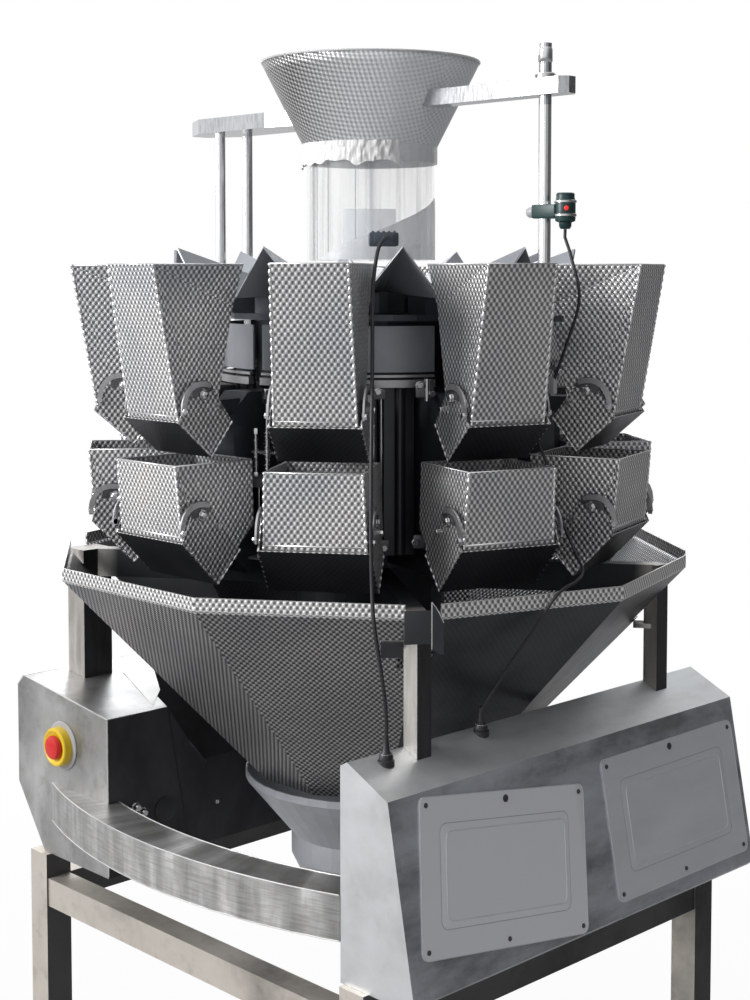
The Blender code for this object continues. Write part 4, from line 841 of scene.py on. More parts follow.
def smooth_route(points, count):
    """Points at even steps along a Catmull-Rom curve through the route's own points."""
    pts = [Vector(p) for p in points]
    padded = [pts[0] * 2 - pts[1], *pts, pts[-1] * 2 - pts[-2]]
    fine = []
    per_span = 24
    for i in range(1, len(padded) - 2):
        p0, p1, p2, p3 = padded[i - 1:i + 3]
        for k in range(per_span):
            t = k / per_span
            fine.append(0.5 * (
                2 * p1 + (p2 - p0) * t + (2 * p0 - 5 * p1 + 4 * p2 - p3) * t ** 2
                + (3 * p1 - p0 - 3 * p2 + p3) * t ** 3
            ))
    fine.append(pts[-1])
    lengths = [0.0]
    for a, b in zip(fine, fine[1:]):
        lengths.append(lengths[-1] + (b - a).length)
    even = []
    place = 0
    for n in range(count):
        target = lengths[-1] * n / (count - 1)
        while place < len(lengths) - 2 and lengths[place + 1] < target:
            place += 1
        share = (target - lengths[place]) / (lengths[place + 1] - lengths[place])
        even.append(fine[place].lerp(fine[place + 1], share))
    return even


def box_top_drop(x):
    """Drop of the right box's sloping top at x."""
    return line_at(*RIGHT_PEAK, *RIGHT_FOLD, x)


def make_cable(name, route, radius, node):
    points = smooth_route([(x, y, level(drop)) for x, y, drop in route], CABLE_POINTS)
    curve = bpy.data.curves.new(name, "CURVE")
    curve.dimensions = "3D"
    curve.bevel_depth = radius
    curve.bevel_resolution = 4
    curve.use_fill_caps = True
    spline = curve.splines.new("POLY")
    spline.points.add(len(points) - 1)
    for target, point in zip(spline.points, points):
        target.co = (*point, 1.0)
    spline.use_smooth = True
    curve.materials.append(CABLE_BLACK)
    item = bpy.data.objects.new(name, curve)
    bpy.context.scene.collection.objects.link(item)
    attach(item, "base")
    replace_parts(item, node)
    return points


def drop_cable_route():
    angle = math.radians(CONNECTOR_ANGLE_DEG)
    middle = line_at(*PAN_RIDGE, CONNECTOR_END_R) - SHEET - GAP - CONNECTOR_SIZE[2] / 2
    direction = Vector((math.cos(angle), math.sin(angle)))
    start_r = CONNECTOR_END_R + GAP
    lead = [direction * (start_r + step) for step in (0.0, 0.008, 0.016)]
    gland_top = box_top_drop(DROP_GLAND[0]) - GLAND_HEIGHT - GAP
    return [
        *((p.x, p.y, middle) for p in lead),
        (0.287, -0.262, -0.020),
        (0.300, -0.285, 0.040),
        (0.322, -0.307, 0.110),
        (0.345, -0.330, 0.190),
        (0.364, -0.350, 0.270),
        (0.376, -0.362, 0.340),
        (0.384, -0.370, 0.410),
        (0.391, -0.375, 0.465),
        (0.397, -0.379, 0.495),
        (0.403, -0.380, 0.530),
        (0.408, -0.374, 0.580),
        (0.409, -0.366, 0.630),
        (0.407, -0.361, 0.666),
        *((*DROP_GLAND, gland_top - step) for step in (0.020, 0.010, 0.0)),
    ]


def sensor_cable_route():
    start = -SENSOR_RISE + SENSOR_LENGTH / 2 + GAP
    gland_top = box_top_drop(SENSOR_GLAND[0]) - GLAND_HEIGHT - GAP
    return [
        *((SENSOR_R, 0.0, start + step) for step in (0.0, 0.007, 0.014)),
        (0.449, 0.0, -0.010),
        (0.465, 0.0, 0.055),
        (0.438, 0.0, 0.130),
        (0.412, 0.0, 0.190),
        (0.382, 0.0, 0.265),
        (0.404, 0.0, 0.320),
        (0.428, 0.0, 0.390),
        (0.466, -0.006, 0.448),
        (0.500, -0.030, 0.470),
        (0.5190, -0.070, 0.4790),
        (0.5225, -0.105, 0.4855),
        (0.520, -0.125, 0.500),
        (0.498, -0.142, 0.545),
        (0.462, -0.153, 0.600),
        (0.424, -0.156, 0.655),
        *((*SENSOR_GLAND, gland_top - step) for step in (0.020, 0.010, 0.0)),
    ]


# Hoppers and gates


def beads(piece, start, end, radius=0.0022, swell=0.45):
    """A folded edge where the embossing shows as a row of bright beads."""
    start, end = Vector(start), Vector(end)
    length = (end - start).length
    steps = max(6, round(length / DIMPLE_DOWN * 6))
    points = []
    radii = []
    for i in range(steps + 1):
        along = length * i / steps
        points.append(start.lerp(end, i / steps))
        radii.append(radius * (1.0 + swell * math.cos(math.tau * along / DIMPLE_DOWN)))
    piece.tube(points, radii, 8)


def hopper_trim(table, rim, name):
    """Beaded outer folds and the hemmed mouth of one kind of hopper, for all to share."""
    folds = Piece()
    for side in (-1, 1):
        beads(folds, corner(table, "top", side), corner(table, "wall", side))
    hem = Piece()
    hem.tube([corner(table, key, side) for key, side in rim], SHEET * 0.62, 8, closed=True)
    low_bar = [
        corner(table, "wall", side) + Vector((0.0004, side * 0.002, 0.0068)) for side in (-1, 1)
    ]
    hem.tube(low_bar, 0.0021, 10)
    return folds.mesh(name + "_folds", BEAD, None), hem.mesh(name + "_hem", BEAD, None)


def make_hopper_trim():
    feed_rim = [("flare", -1), ("top", -1), ("top", 1), ("flare", 1), ("mouth", 1), ("mouth", -1)]
    weigh_rim = [("rear", -1), ("top", -1), ("top", 1), ("rear", 1)]
    feed = hopper_trim(FEED, feed_rim, "feed")
    weigh = hopper_trim(WEIGH, weigh_rim, "weigh")
    for number in range(HEADS):
        tag = f"{number + 1:02d}"
        for kind, meshes in (("feed", feed), ("weigh", weigh)):
            for part, mesh in zip(("folds", "hem"), meshes):
                name = f"{kind}_{part}_{tag}"
                show(name, mesh, place=head_matrix(number))


def gate_corners(table, pivot):
    """The gate's own corners in its head's plane, as (radius, height)."""
    wall, tip, hinge = (
        Vector((table["wall"][0], level(table["wall"][2]))),
        Vector((table["tip"][0], level(table["tip"][2]))),
        Vector((pivot[0], level(pivot[1]))),
    )
    along = (tip - wall).normalized()
    out = Vector((-along.y, along.x))
    seat = GATE_SEAT + SHEET / 2
    outer = wall + out * seat - along * GATE_LIP
    inner = tip + out * seat + along * GATE_LIP
    back = inner - out * GATE_BACK_REACH - along * GATE_LIP
    return outer, inner, back, hinge


# Profiles by radius and height on the pins, and the lever's middle line from its hinge
WASHER = ((PIN_RADIUS, 0.0), (0.0085, 0.0), (0.0085, 0.0014), (PIN_RADIUS, 0.0014))
DOMED_NUT = (
    (0.0, 0.0014), (0.0068, 0.0014), (0.0068, 0.0045), (0.005, 0.0062), (0.0, 0.0066),
)
LEVER_LINE = (
    (-0.013, 0.013), (-0.003, 0.0165), (0.008, 0.0170), (0.019, 0.0145), (0.028, 0.0085),
    (0.0345, 0.0000), (0.0385, -0.0100), (0.0400, -0.0210), (0.0400, -0.0300),
)
LEVER_HALF_WIDTH = 0.0042
LEVER_THICKNESS = 0.0031
LEVER_BOLTS = ((0.0395, -0.0240), (-0.030, -0.020))
PLATE_THICKNESS = 0.0015
SEAT_GAP = 0.0001


def make_gate_trim():
    """Beaded lower edges, and on the pins the washers and domed nuts."""
    for kind, table, pivot in (("feed", FEED, FEED_PIVOT), ("weigh", WEIGH, WEIGH_PIVOT)):
        cheek = table["wall"][1] + SHEET / 2 + GATE_SIDE_CLEARANCE
        outer, inner, back, hinge = gate_corners(table, pivot)
        for number in range(HEADS):
            tag = f"{number + 1:02d}"
            turn = head_matrix(number)
            edge = Piece(turn)
            for side in (-1, 1):
                y = side * (cheek + GATE_SHEET / 2)
                for a, b in ((outer, inner), (inner, back)):
                    beads(edge, (a.x, y, a.y), (b.x, y, b.y), 0.0017, 0.4)
            edge.make(f"{kind}_gate_edge_{tag}", BEAD, "dimpled_steel", f"{kind}_gate_{tag}")
            nuts = Piece(turn)
            for side in (-1, 1):
                face = side * (cheek + GATE_SHEET + 0.0012)
                axis = Matrix.Translation((hinge.x, face, hinge.y)) @ Matrix.Rotation(
                    -side * math.pi / 2, 4, "X"
                )
                nuts.turned(WASHER, axis, 20)
                nuts.turned(DOMED_NUT, axis, 6)
            nuts.make(f"{kind}_hinge_nuts_{tag}", BRIGHT_STEEL, "chrome")


def lever_rows(inner, outer):
    """The bent lever on a gate's cheek, from above the hinge to the outer wall's corner."""
    rows = []
    last = len(LEVER_LINE) - 1
    for i, point in enumerate(LEVER_LINE):
        before, after = Vector(LEVER_LINE[max(i - 1, 0)]), Vector(LEVER_LINE[min(i + 1, last)])
        ahead = (after - before).normalized()
        half = LEVER_HALF_WIDTH * (0.75 if i in (0, last) else 1.0)
        across = Vector((-ahead.y, ahead.x)) * half
        a, b = Vector(point) + across, Vector(point) - across
        rows.append([(a.x, inner, a.y), (a.x, outer, a.y), (b.x, outer, b.y), (b.x, inner, b.y)])
    return rows


def hinge_plate_rows(inner, outer, steps=16):
    """The dark plate that curls over the hinge, narrower towards its ends."""
    rows = []
    for k in range(steps + 1):
        angle = math.radians(-12.0 + 172.0 * k / steps)
        near, far = 0.0098, 0.0235 - 0.003 * abs(k - 7) / 9
        rows.append([
            (r * math.cos(angle), y, r * math.sin(angle))
            for r, y in ((near, inner), (far, inner), (far, outer), (near, outer))
        ])
    return rows


def make_levers():
    """Levers, bolts and hinge plates, which swing with the gates."""
    for kind, table, pivot in (("feed", FEED, FEED_PIVOT), ("weigh", WEIGH, WEIGH_PIVOT)):
        cheek = table["wall"][1] + SHEET / 2 + GATE_SIDE_CLEARANCE + GATE_SHEET + SEAT_GAP
        for number in range(HEADS):
            place = head_matrix(number) @ Matrix.Translation((pivot[0], 0.0, level(pivot[1])))
            levers, bolts, plates = Piece(place), Piece(place), Piece(place)
            for side in (-1, 1):
                face = side * cheek
                levers.strip(lever_rows(face, face + side * LEVER_THICKNESS), True, True)
                plates.strip(hinge_plate_rows(face, face + side * PLATE_THICKNESS), True, True)
                for r, z in LEVER_BOLTS:
                    bolts.hexagon((r, face, z), (0, side, 0), 0.0085, 0.0066)
            for part, piece, look in (
                ("hinge_plates", plates, HINGE_DARK), ("levers", levers, LEVER_STEEL),
                ("lever_bolts", bolts, BRIGHT_STEEL),
            ):
                tag = f"{number + 1:02d}"
                piece.make(f"{kind}_{part}_{tag}", look, "chrome", f"{kind}_gate_{tag}")


# Drives between the heads


def spring_points(x, y, low, high, radius, turns):
    steps = turns * 10
    return [
        (
            x + radius * math.cos(math.tau * turns * k / steps),
            y + radius * math.sin(math.tau * turns * k / steps),
            low + (high - low) * k / steps,
        )
        for k in range(steps + 1)
    ]


# Blocks, studs (x, y, top, end), bolts (x, y, drop, width, height) and springs (x, y, low,
# high, radius, turns) between two drive modules, in the frame halfway between their heads
UP = (0, 0, 1)
OUTWARD = (1, 0, 0)
DRIVE_DARK_BLOCKS = (
    ((0.262, -0.030, 0.222), (0.316, 0.026, 0.198), 0.004),
    ((0.235, -0.034, 0.432), (0.306, 0.030, 0.368), 0.004),
    ((0.262, -0.050, 0.372), (0.290, 0.050, 0.350), 0.002),
)
DRIVE_LIGHT_BLOCKS = (
    ((0.283, -0.061, 0.3415), (0.318, 0.061, 0.338), 0.0008),
    ((0.3155, -0.061, 0.356), (0.318, 0.061, 0.338), 0.0008),
    ((0.302, 0.018, 0.338), (0.305, 0.040, 0.222), 0.0008),
    ((0.302, 0.018, 0.225), (0.320, 0.040, 0.222), 0.0008),
    ((0.268, -0.058, 0.474), (0.312, 0.058, 0.470), 0.0008),
    ((0.306, -0.034, 0.410), (0.3085, -0.012, 0.341), 0.0008),
)
DRIVE_CAN = ((0.0, 0.296), (0.013, 0.296), (0.015, 0.292), (0.015, 0.236), (0.011, 0.232),
             (0.011, 0.222), (0.0, 0.222))
DRIVE_CAN_PLACE = (0.282, 0.004, 0.0)
DRIVE_STUDS = (
    (0.311, -0.022, 0.198, 0.338), (0.306, -0.046, 0.262, 0.338), (0.294, 0.050, 0.245, 0.338),
    (0.300, 0.044, 0.341, 0.470), (0.300, -0.044, 0.341, 0.470),
)
DRIVE_STUD_RADIUS = 0.0028
DRIVE_BOLTS = (
    (0.316, -0.020, 0.210, 0.0075, 0.0045), (0.316, 0.014, 0.210, 0.0075, 0.0045),
    (0.305, 0.029, 0.236, 0.0085, 0.005), (0.305, 0.029, 0.322, 0.0085, 0.005),
    (0.3085, -0.023, 0.382, 0.0075, 0.0045), (0.306, 0.018, 0.382, 0.0075, 0.0045),
    (0.306, -0.023, 0.420, 0.0075, 0.0045), (0.306, 0.018, 0.420, 0.0075, 0.0045),
)
DRIVE_SPRINGS = (
    (0.311, -0.022, 0.325, 0.262, 0.0052, 11), (0.306, -0.046, 0.329, 0.276, 0.0048, 10),
)
SPRING_WIRE = 0.0009


def drive_meshes():
    """What shows between two drive modules."""
    dark = Piece()
    dark.blocks(DRIVE_DARK_BLOCKS)
    can = [(r, level(drop)) for r, drop in DRIVE_CAN]
    dark.turned(can, Matrix.Translation(DRIVE_CAN_PLACE), 24)
    light = Piece()
    light.blocks(DRIVE_LIGHT_BLOCKS)
    bright = Piece()
    for x, y, top, end in DRIVE_STUDS:
        bright.upright(x, y, top, end, DRIVE_STUD_RADIUS)
        bright.hexagon((x, y, level(end) + 0.0002), UP, 0.010, 0.005)
        bright.hexagon((x, y, level(top) - 0.009), UP, 0.009, 0.009)
    bright.tube([(0.3025, -0.055, level(0.301)), (0.3025, 0.036, level(0.301))], 0.0032, 12)
    for x, y, drop, width, height in DRIVE_BOLTS:
        bright.hexagon((x, y, level(drop)), OUTWARD, width, height)
    for x, y, low, high, radius, turns in DRIVE_SPRINGS:
        coil = spring_points(x, y, level(low), level(high), radius, turns)
        bright.tube(coil, SPRING_WIRE, 6)
    return [
        dark.mesh("drive_dark", DRIVE_DARK), light.mesh("drive_light", LEVER_STEEL),
        bright.mesh("drive_bright", BRIGHT_STEEL),
    ]


def patch(piece, radius, thick, top, end, half_deg, steps=12):
    """A piece of a cylinder's wall about the machine's axis, closed all round."""
    rows = []
    for k in range(steps + 1):
        angle = math.radians(-half_deg + 2 * half_deg * k / steps)
        rows.append([
            on_circle(r, angle, level(drop))
            for r, drop in (
                (radius - thick, top), (radius, top), (radius, end), (radius - thick, end),
            )
        ])
    piece.strip(rows, closed=True, ends=True)


def drum_meshes():
    """The drum's pale sleeve and rings and the dark column wall below, for each gap."""
    sleeve = Piece()
    patch(sleeve, 0.258, 0.004, 0.098, 0.172, 15.5)
    rings = Piece()
    patch(rings, 0.266, 0.010, 0.184, 0.196, 15.0)
    patch(rings, 0.263, 0.008, 0.176, 0.180, 15.0)
    wall = Piece()
    patch(wall, 0.240, 0.006, 0.172, 0.470, 9.0)
    wall.upright(0.2405, -0.018, 0.198, 0.468, 0.006)
    wall.upright(0.2405, 0.014, 0.198, 0.468, 0.009)
    return [
        sleeve.mesh("drum_sleeve", DRUM_GREY), rings.mesh("drum_rings", LEVER_STEEL),
        wall.mesh("column_wall", DRIVE_DARK),
    ]


# Rods (x, y, top, end, radius, sides), clamp screws (x, y, drop) and blocks of the front right
# gap, where the photograph shows the column itself
GAP_RODS = (
    (0.292, -0.036, 0.200, 0.445, 0.0022, 10), (0.292, -0.024, 0.200, 0.445, 0.0022, 10),
    (0.300, 0.048, 0.180, 0.215, 0.0050, 12), (0.300, 0.048, 0.428, 0.452, 0.0045, 12),
)
GAP_SCREWS = (
    (0.296, -0.044, 0.206), (0.296, -0.030, 0.200), (0.300, 0.036, 0.190), (0.300, 0.056, 0.204),
    (0.296, -0.040, 0.440), (0.296, -0.020, 0.448), (0.300, 0.030, 0.440), (0.300, 0.056, 0.432),
)
GAP_WASHER = ((0.0, -0.004), (0.0062, -0.004), (0.0062, 0.0), (0.0, 0.0))
GAP_HOLDERS = (
    ((0.286, -0.052, 0.212), (0.296, -0.018, 0.196), 0.002),
    ((0.286, -0.050, 0.454), (0.296, -0.012, 0.436), 0.002),
    ((0.290, 0.030, 0.210), (0.300, 0.060, 0.184), 0.003),
    ((0.290, 0.026, 0.450), (0.300, 0.060, 0.428), 0.003),
)


def open_gap_meshes():
    rods = Piece()
    for rod in GAP_RODS:
        rods.upright(*rod)
    for x, y, drop in GAP_SCREWS:
        centre = (x, y, level(drop))
        rods.hexagon(centre, OUTWARD, 0.0095, 0.0060)
        rods.turned(GAP_WASHER, pointing_out(centre), 16)
    holders = Piece()
    holders.blocks(GAP_HOLDERS)
    return [rods.mesh("gap_rods", BRIGHT_STEEL), holders.mesh("gap_holders", HINGE_DARK)]


def make_drives():
    drum, drives, plain = drum_meshes(), drive_meshes(), open_gap_meshes()
    for number in range(HEADS):
        for mesh in drum + (plain if number == OPEN_GAP else drives):
            name = f"{mesh.name}_{number + 1:02d}"
            show(name, mesh, place=between_matrix(number))


# Infeed funnel and tube


RIM_BEAD_RADIUS = 0.0016
FUNNEL_SIDES = 144
FUNNEL_ROWS = 8
NECK_INNER_R = TUBE_RADIUS + GAP
NECK_R = NECK_INNER_R + FUNNEL_SHEET * 2
FILM_FROM_DEG = -150.0
FILM_SPAN_DEG = 130.0
FILM_STEPS = 240
FILM_ROWS = 8
FILM_TOP_RISE = 0.209
FILM_END_RISE = 0.172
FILM_THICKNESS = 0.0006


def make_funnel_bowl():
    """The rolled funnel with its dimples unrolled onto the flat sheet."""
    rise = FUNNEL_RIM_RISE - FUNNEL_NECK_RISE
    slope = math.atan2(FUNNEL_RIM_R - NECK_R, rise)
    bm = bmesh.new()
    uv = bm.loops.layers.uv.new("sheet")
    grid = []
    flat = {}
    outside = [row / FUNNEL_ROWS for row in range(FUNNEL_ROWS + 1)]
    for wall, shares in ((0.0, outside), (FUNNEL_SHEET, [1.0 - share for share in outside])):
        for share in shares:
            radius = NECK_R + (FUNNEL_RIM_R - NECK_R) * share - wall
            slant = radius / math.sin(slope)
            ring = []
            for k in range(FUNNEL_SIDES + 1):
                angle = math.tau * k / FUNNEL_SIDES
                z = level(-FUNNEL_NECK_RISE) + rise * share
                vert = bm.verts.new(on_circle(radius, angle, z))
                flat[vert] = on_circle(slant, angle * math.sin(slope), z)[:2]
                ring.append(vert)
            grid.append(ring)
    for low, high in zip(grid, grid[1:]):
        for k in range(FUNNEL_SIDES):
            face = bm.faces.new((low[k], low[k + 1], high[k + 1], high[k]))
            for loop in face.loops:
                loop[uv].uv = flat[loop.vert]
    mesh = bpy.data.meshes.new("funnel_bowl")
    bm.to_mesh(mesh)
    bm.free()
    mesh.shade_smooth()
    mesh.materials.append(DIMPLED_ROLLED)
    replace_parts(show("funnel_bowl", mesh), "infeed_funnel")


def make_funnel_edges():
    """The funnel's rim and the collar over the top of the tube."""
    rim = Piece()
    rim.tube([
        on_circle(
            FUNNEL_RIM_R - 0.0012, math.tau * k / FUNNEL_SIDES,
            level(-FUNNEL_RIM_RISE) - RIM_BEAD_RADIUS,
        )
        for k in range(FUNNEL_SIDES)
    ], RIM_BEAD_RADIUS, 8, closed=True)
    rim.make("funnel_rim", BEAD, "dimpled_steel")
    top, end = level(-FUNNEL_NECK_RISE), level(-COLLAR_END_RISE)
    lathe("funnel_collar", FILM, "dimpled_steel", [
        (NECK_R - 0.001, top + 0.002), (NECK_R, top), (NECK_R, end + 0.002), (NECK_R - 0.0008, end),
        (NECK_INNER_R, end), (NECK_INNER_R, level(-TUBE_TOP_RISE)),
        (TUBE_RADIUS - TUBE_WALL, top), (NECK_R - 0.003, top + 0.002),
    ], None, TUBE_SIDES)


def make_collar_film():
    """Crumpled film round the front of the collar, with a ragged lower edge."""
    film = Piece()
    rows = []
    for k in range(FILM_STEPS + 1):
        azimuth = math.radians(FILM_FROM_DEG + FILM_SPAN_DEG * k / FILM_STEPS)
        edge = FILM_END_RISE - 0.012 * noise.noise((azimuth * 5.0, 1.7, 0.0))
        outer = []
        inner = []
        for row in range(FILM_ROWS + 1):
            rise = edge + (FILM_TOP_RISE - edge) * row / FILM_ROWS
            crease = noise.noise((azimuth * 16.0, rise * 90.0, 0.4))
            crease += 0.5 * noise.noise((azimuth * 38.0, rise * 200.0, 2.1))
            r = NECK_R + 0.0030 + 0.0026 * crease
            outer.append(on_circle(r, azimuth, level(-rise)))
            inner.append(on_circle(r - FILM_THICKNESS, azimuth, level(-rise)))
        rows.append(outer + inner[::-1])
    film.strip(rows, closed=True, ends=True)
    film.make("collar_film", CRUMPLED, "dimpled_steel", sharp_deg=50.0)


def make_clear_tube():
    inner = TUBE_RADIUS - TUBE_WALL
    top, end = level(-TUBE_TOP_RISE), level(-TUBE_END_RISE)
    item = lathe("clear_tube", CLEAR, "clear_plastic", [
        (TUBE_RADIUS, top), (TUBE_RADIUS, end + 0.0006), (TUBE_RADIUS - 0.0006, end),
        (inner, end), (inner, top), (TUBE_RADIUS, top),
    ], None, TUBE_SIDES)
    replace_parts(item, "infeed_tube")


WRAP_FROM_DEG = -96.0
WRAP_SPAN_DEG = 147.0
WRAP_STEPS = 72
WRAP_PEAK_DEG = 36.0
WRAP_PEAK_RISE = 0.117
WRAP_START_RISE = 0.012
FOLDS_DEG = ((-123.0, 1.2), (-112.0, 4.2), (-104.0, 1.4), (-87.0, 1.2), (-58.0, 0.8))
FOLD_THICKNESS = 0.0008
BAND_RADIUS = 0.0950
BAND_THICKNESS = 0.0012


def wrap_rise(azimuth):
    """Height of the wound sheet's upper edge: up to its peak, then slightly down."""
    if azimuth < WRAP_PEAK_DEG:
        share = (azimuth - WRAP_FROM_DEG) / (WRAP_PEAK_DEG - WRAP_FROM_DEG)
        return WRAP_START_RISE + (WRAP_PEAK_RISE - WRAP_START_RISE) * share
    return WRAP_PEAK_RISE - 0.004 * (azimuth - WRAP_PEAK_DEG)


def shell(piece, radius, thick, low, high, from_deg, to_deg, steps):
    """A strip of a thin tube's wall between two directions."""
    inner = radius - thick
    piece.turned(
        [(radius, low), (radius, high), (inner, high), (inner, low), (radius, low)],
        None, steps, math.radians(from_deg), math.radians(to_deg),
    )


def make_wrap():
    """A thin cloudy sheet wound slantwise round the tube's foot, folds and a band inside it."""
    wrap = Piece()
    rows = []
    for k in range(WRAP_STEPS + 1):
        azimuth = WRAP_FROM_DEG + WRAP_SPAN_DEG * k / WRAP_STEPS
        ripple = 0.0012 * noise.noise((azimuth * 0.09, 3.1, 0.0))
        low, high = level(-0.0095), level(-max(wrap_rise(azimuth), 0.0125)) + ripple
        inner, outer = TUBE_RADIUS + 0.0006, TUBE_RADIUS + 0.0016 + 0.5 * abs(ripple)
        rows.append([
            on_circle(r, math.radians(azimuth), z)
            for r, z in ((inner, low), (outer, low), (outer, high), (inner, high))
        ])
    wrap.strip(rows, closed=True, ends=True)
    wrap.make("tube_wrap", PALE_SHEET, "clear_plastic")
    folds = Piece()
    low, high = level(-TUBE_END_RISE - 0.001), level(-TUBE_TOP_RISE + 0.022)
    for azimuth, width in FOLDS_DEG:
        shell(
            folds, TUBE_RADIUS - TUBE_WALL - 0.0012, FOLD_THICKNESS, low, high,
            azimuth - width / 2, azimuth + width / 2, 6,
        )
    folds.make("tube_folds", TUBE_SHADE, "clear_plastic")
    band = Piece()
    shell(band, BAND_RADIUS, BAND_THICKNESS, level(-0.010), level(-0.095), -74.0, -17.0, 40)
    band.make("tube_band", BAND_BLUE, "clear_plastic")


def make_tag():
    """The pale tag on the sensor's cable."""
    tag = Piece()
    tag.blocks([((0.4055, -0.0045, 0.203), (0.4185, 0.0045, 0.178), 0.0012)])
    tag.make("cable_tag", TAG_GREY, "clear_plastic")


# Sensor, rod top, plug and glands


def make_sensor():
    """The level sensor in its clamp, with its rings, light and pale knob."""
    middle = level(-SENSOR_RISE)
    body = Piece()
    low, high = middle - SENSOR_LENGTH / 2, middle + SENSOR_LENGTH / 2
    axis = Matrix.Translation((SENSOR_R, 0.0, 0.0))
    r = SENSOR_RADIUS
    body.turned([
        (0.0, low), (r * 0.45, low), (r * 0.6, low + 0.004), (r * 0.62, low + 0.010),
        (r * 0.96, low + 0.012), (r, low + 0.016), (r, high - 0.012), (r * 0.9, high - 0.008),
        (r * 0.9, high - 0.002), (r * 0.8, high), (0.0, high),
    ], axis, 40)
    near = (RIGHT_ROD_R - SENSOR_CLAMP_HALF, -SENSOR_CLAMP_HALF, middle - SENSOR_CLAMP_REACH)
    far = (SENSOR_R - r * 0.6, SENSOR_CLAMP_HALF, middle + SENSOR_CLAMP_REACH)
    body.block(near, far, 0.003)
    item = body.make("sensor_body", SENSOR_GREEN, "sensor_plastic")
    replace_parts(item, "level_sensor")
    rings = Piece()
    for z in (low + 0.019, high - 0.016):
        rings.turned(
            [(r, z), (r + 0.0015, z + 0.001), (r + 0.0015, z + 0.004), (r, z + 0.005)], axis, 40
        )
    rings.make("sensor_rings", BRIGHT_STEEL, "chrome")
    side = pointing((SENSOR_R + r * 0.72, -r * 0.72, middle + 0.004), (1.0, -1.0, 0.0))
    lathe("sensor_light", RED_LIGHT, "sensor_plastic", [
        (0.0, -0.002), (0.0036, -0.002), (0.0036, 0.0008), (0.002, 0.002), (0.0, 0.0023),
    ], side, 20)
    out = Matrix.Translation((near[0], 0.0, middle)) @ Matrix.Rotation(-math.pi / 2, 4, "Y")
    lathe("sensor_knob", KNOB_PALE, "sensor_plastic", [
        (0.0, 0.0), (0.004, 0.0), (0.004, 0.004), (0.0085, 0.005), (0.009, 0.007), (0.009, 0.015),
        (0.0075, 0.0175), (0.0, 0.018),
    ], out, 24)


def make_rod_top():
    """The right rod's domed cap, and the collar over its bar."""
    axis = Matrix.Translation((RIGHT_ROD_R, 0.0, 0.0))
    top = level(-RIGHT_ROD_TOP_RISE)
    wide = ROD_RADIUS + 0.0012
    lathe("rod_cap", CHROME, "chrome", [
        (ROD_RADIUS, top - 0.030), (wide, top - 0.028), (wide, top - 0.010),
        (ROD_RADIUS * 0.98, top - 0.006), (ROD_RADIUS * 0.7, top - 0.0015), (0.0, top),
    ], axis, 32)
    z = level(-RIGHT_BAR_BOTTOM_RISE) + RIGHT_BAR_HEIGHT
    lathe("rod_collar", BRIGHT_STEEL, "chrome", [
        (ROD_RADIUS, z), (ROD_RADIUS + 0.006, z), (ROD_RADIUS + 0.006, z + 0.007),
        (ROD_RADIUS + 0.004, z + 0.009), (ROD_RADIUS, z + 0.009),
    ], axis, 32)


def make_connector():
    """The ribbed plug on the ridge between two pans."""
    angle = math.radians(CONNECTOR_ANGLE_DEG)
    low = level(line_at(*PAN_RIDGE, CONNECTOR_END_R) - SHEET - GAP)
    long, wide, tall = CONNECTOR_SIZE
    piece = Piece(Matrix.Rotation(angle, 4, "Z"))
    near, far = CONNECTOR_R - long / 2, CONNECTOR_R + long / 2
    piece.block((near, -wide / 2, low), (far - 0.006, wide / 2, low + tall * 0.85), 0.004)
    piece.block(
        (far - 0.007, -wide * 0.35, low + 0.003), (far, wide * 0.35, low + tall * 0.75), 0.003
    )
    for k in range(CONNECTOR_RIBS):
        y = -wide * 0.36 + wide * 0.18 * k
        piece.block(
            (near + 0.003, y - 0.0016, low + tall * 0.8),
            (far - 0.009, y + 0.0016, low + tall * 0.93), 0.0006,
        )
    item = piece.make("plug_housing", CONNECTOR_GREY, "cable_black")
    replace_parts(item, "cable_connector")
    return item


def make_strain_reliefs():
    """Glands with tapered boots where the cables enter the right box."""
    piece = Piece()
    for (x, y), radius in ((DROP_GLAND, DROP_CABLE_RADIUS), (SENSOR_GLAND, SENSOR_CABLE_RADIUS)):
        top = level(box_top_drop(x))
        axis = Matrix.Translation((x, y, top))
        piece.turned([
            (0.0, -0.004), (0.0125, -0.004), (0.0125, 0.004), (0.0105, 0.0055), (0.0105, 0.0105),
            (0.0085, GLAND_HEIGHT), (radius + 0.0026, GLAND_HEIGHT + 0.004),
            (radius + 0.0006, GLAND_HEIGHT + 0.026), (radius * 0.9, GLAND_HEIGHT + 0.027),
        ], axis, 28)
    piece.make("cable_glands", CABLE_BLACK, "cable_black")


# Boxes, covers and stop button


def cover_places():
    """The matrix of each cover plate: its back's centre, along the box, up its slope, outward."""
    normal = front_normal()
    along = Vector((0.0, 1.0, 0.0))
    up = normal.cross(along)
    turn = Matrix((along, up, normal)).transposed().to_4x4()
    x = line_at(RIGHT_FOLD[1], RIGHT_FOLD[0], RIGHT_FRONT[1], RIGHT_FRONT[0], COVER_DROP)
    places = {}
    for name, (y, spin, lift) in COVERS.items():
        centre = Vector((x, y, level(COVER_DROP))) + up * lift - normal * GAP
        spun = Matrix.Rotation(math.radians(spin), 4, "Z")
        places[name] = Matrix.Translation(centre) @ turn @ spun
    return places


def rounded_path(length, height, radius, z, steps=6):
    """A rectangle with round corners, in the plane at z."""
    points = []
    for quarter, (sx, sy) in enumerate(((1, 1), (-1, 1), (-1, -1), (1, -1))):
        cx, cy = sx * (length / 2 - radius), sy * (height / 2 - radius)
        for k in range(steps + 1):
            angle = math.pi / 2 * (quarter + k / steps)
            points.append((cx + radius * math.cos(angle), cy + radius * math.sin(angle), z))
    return points


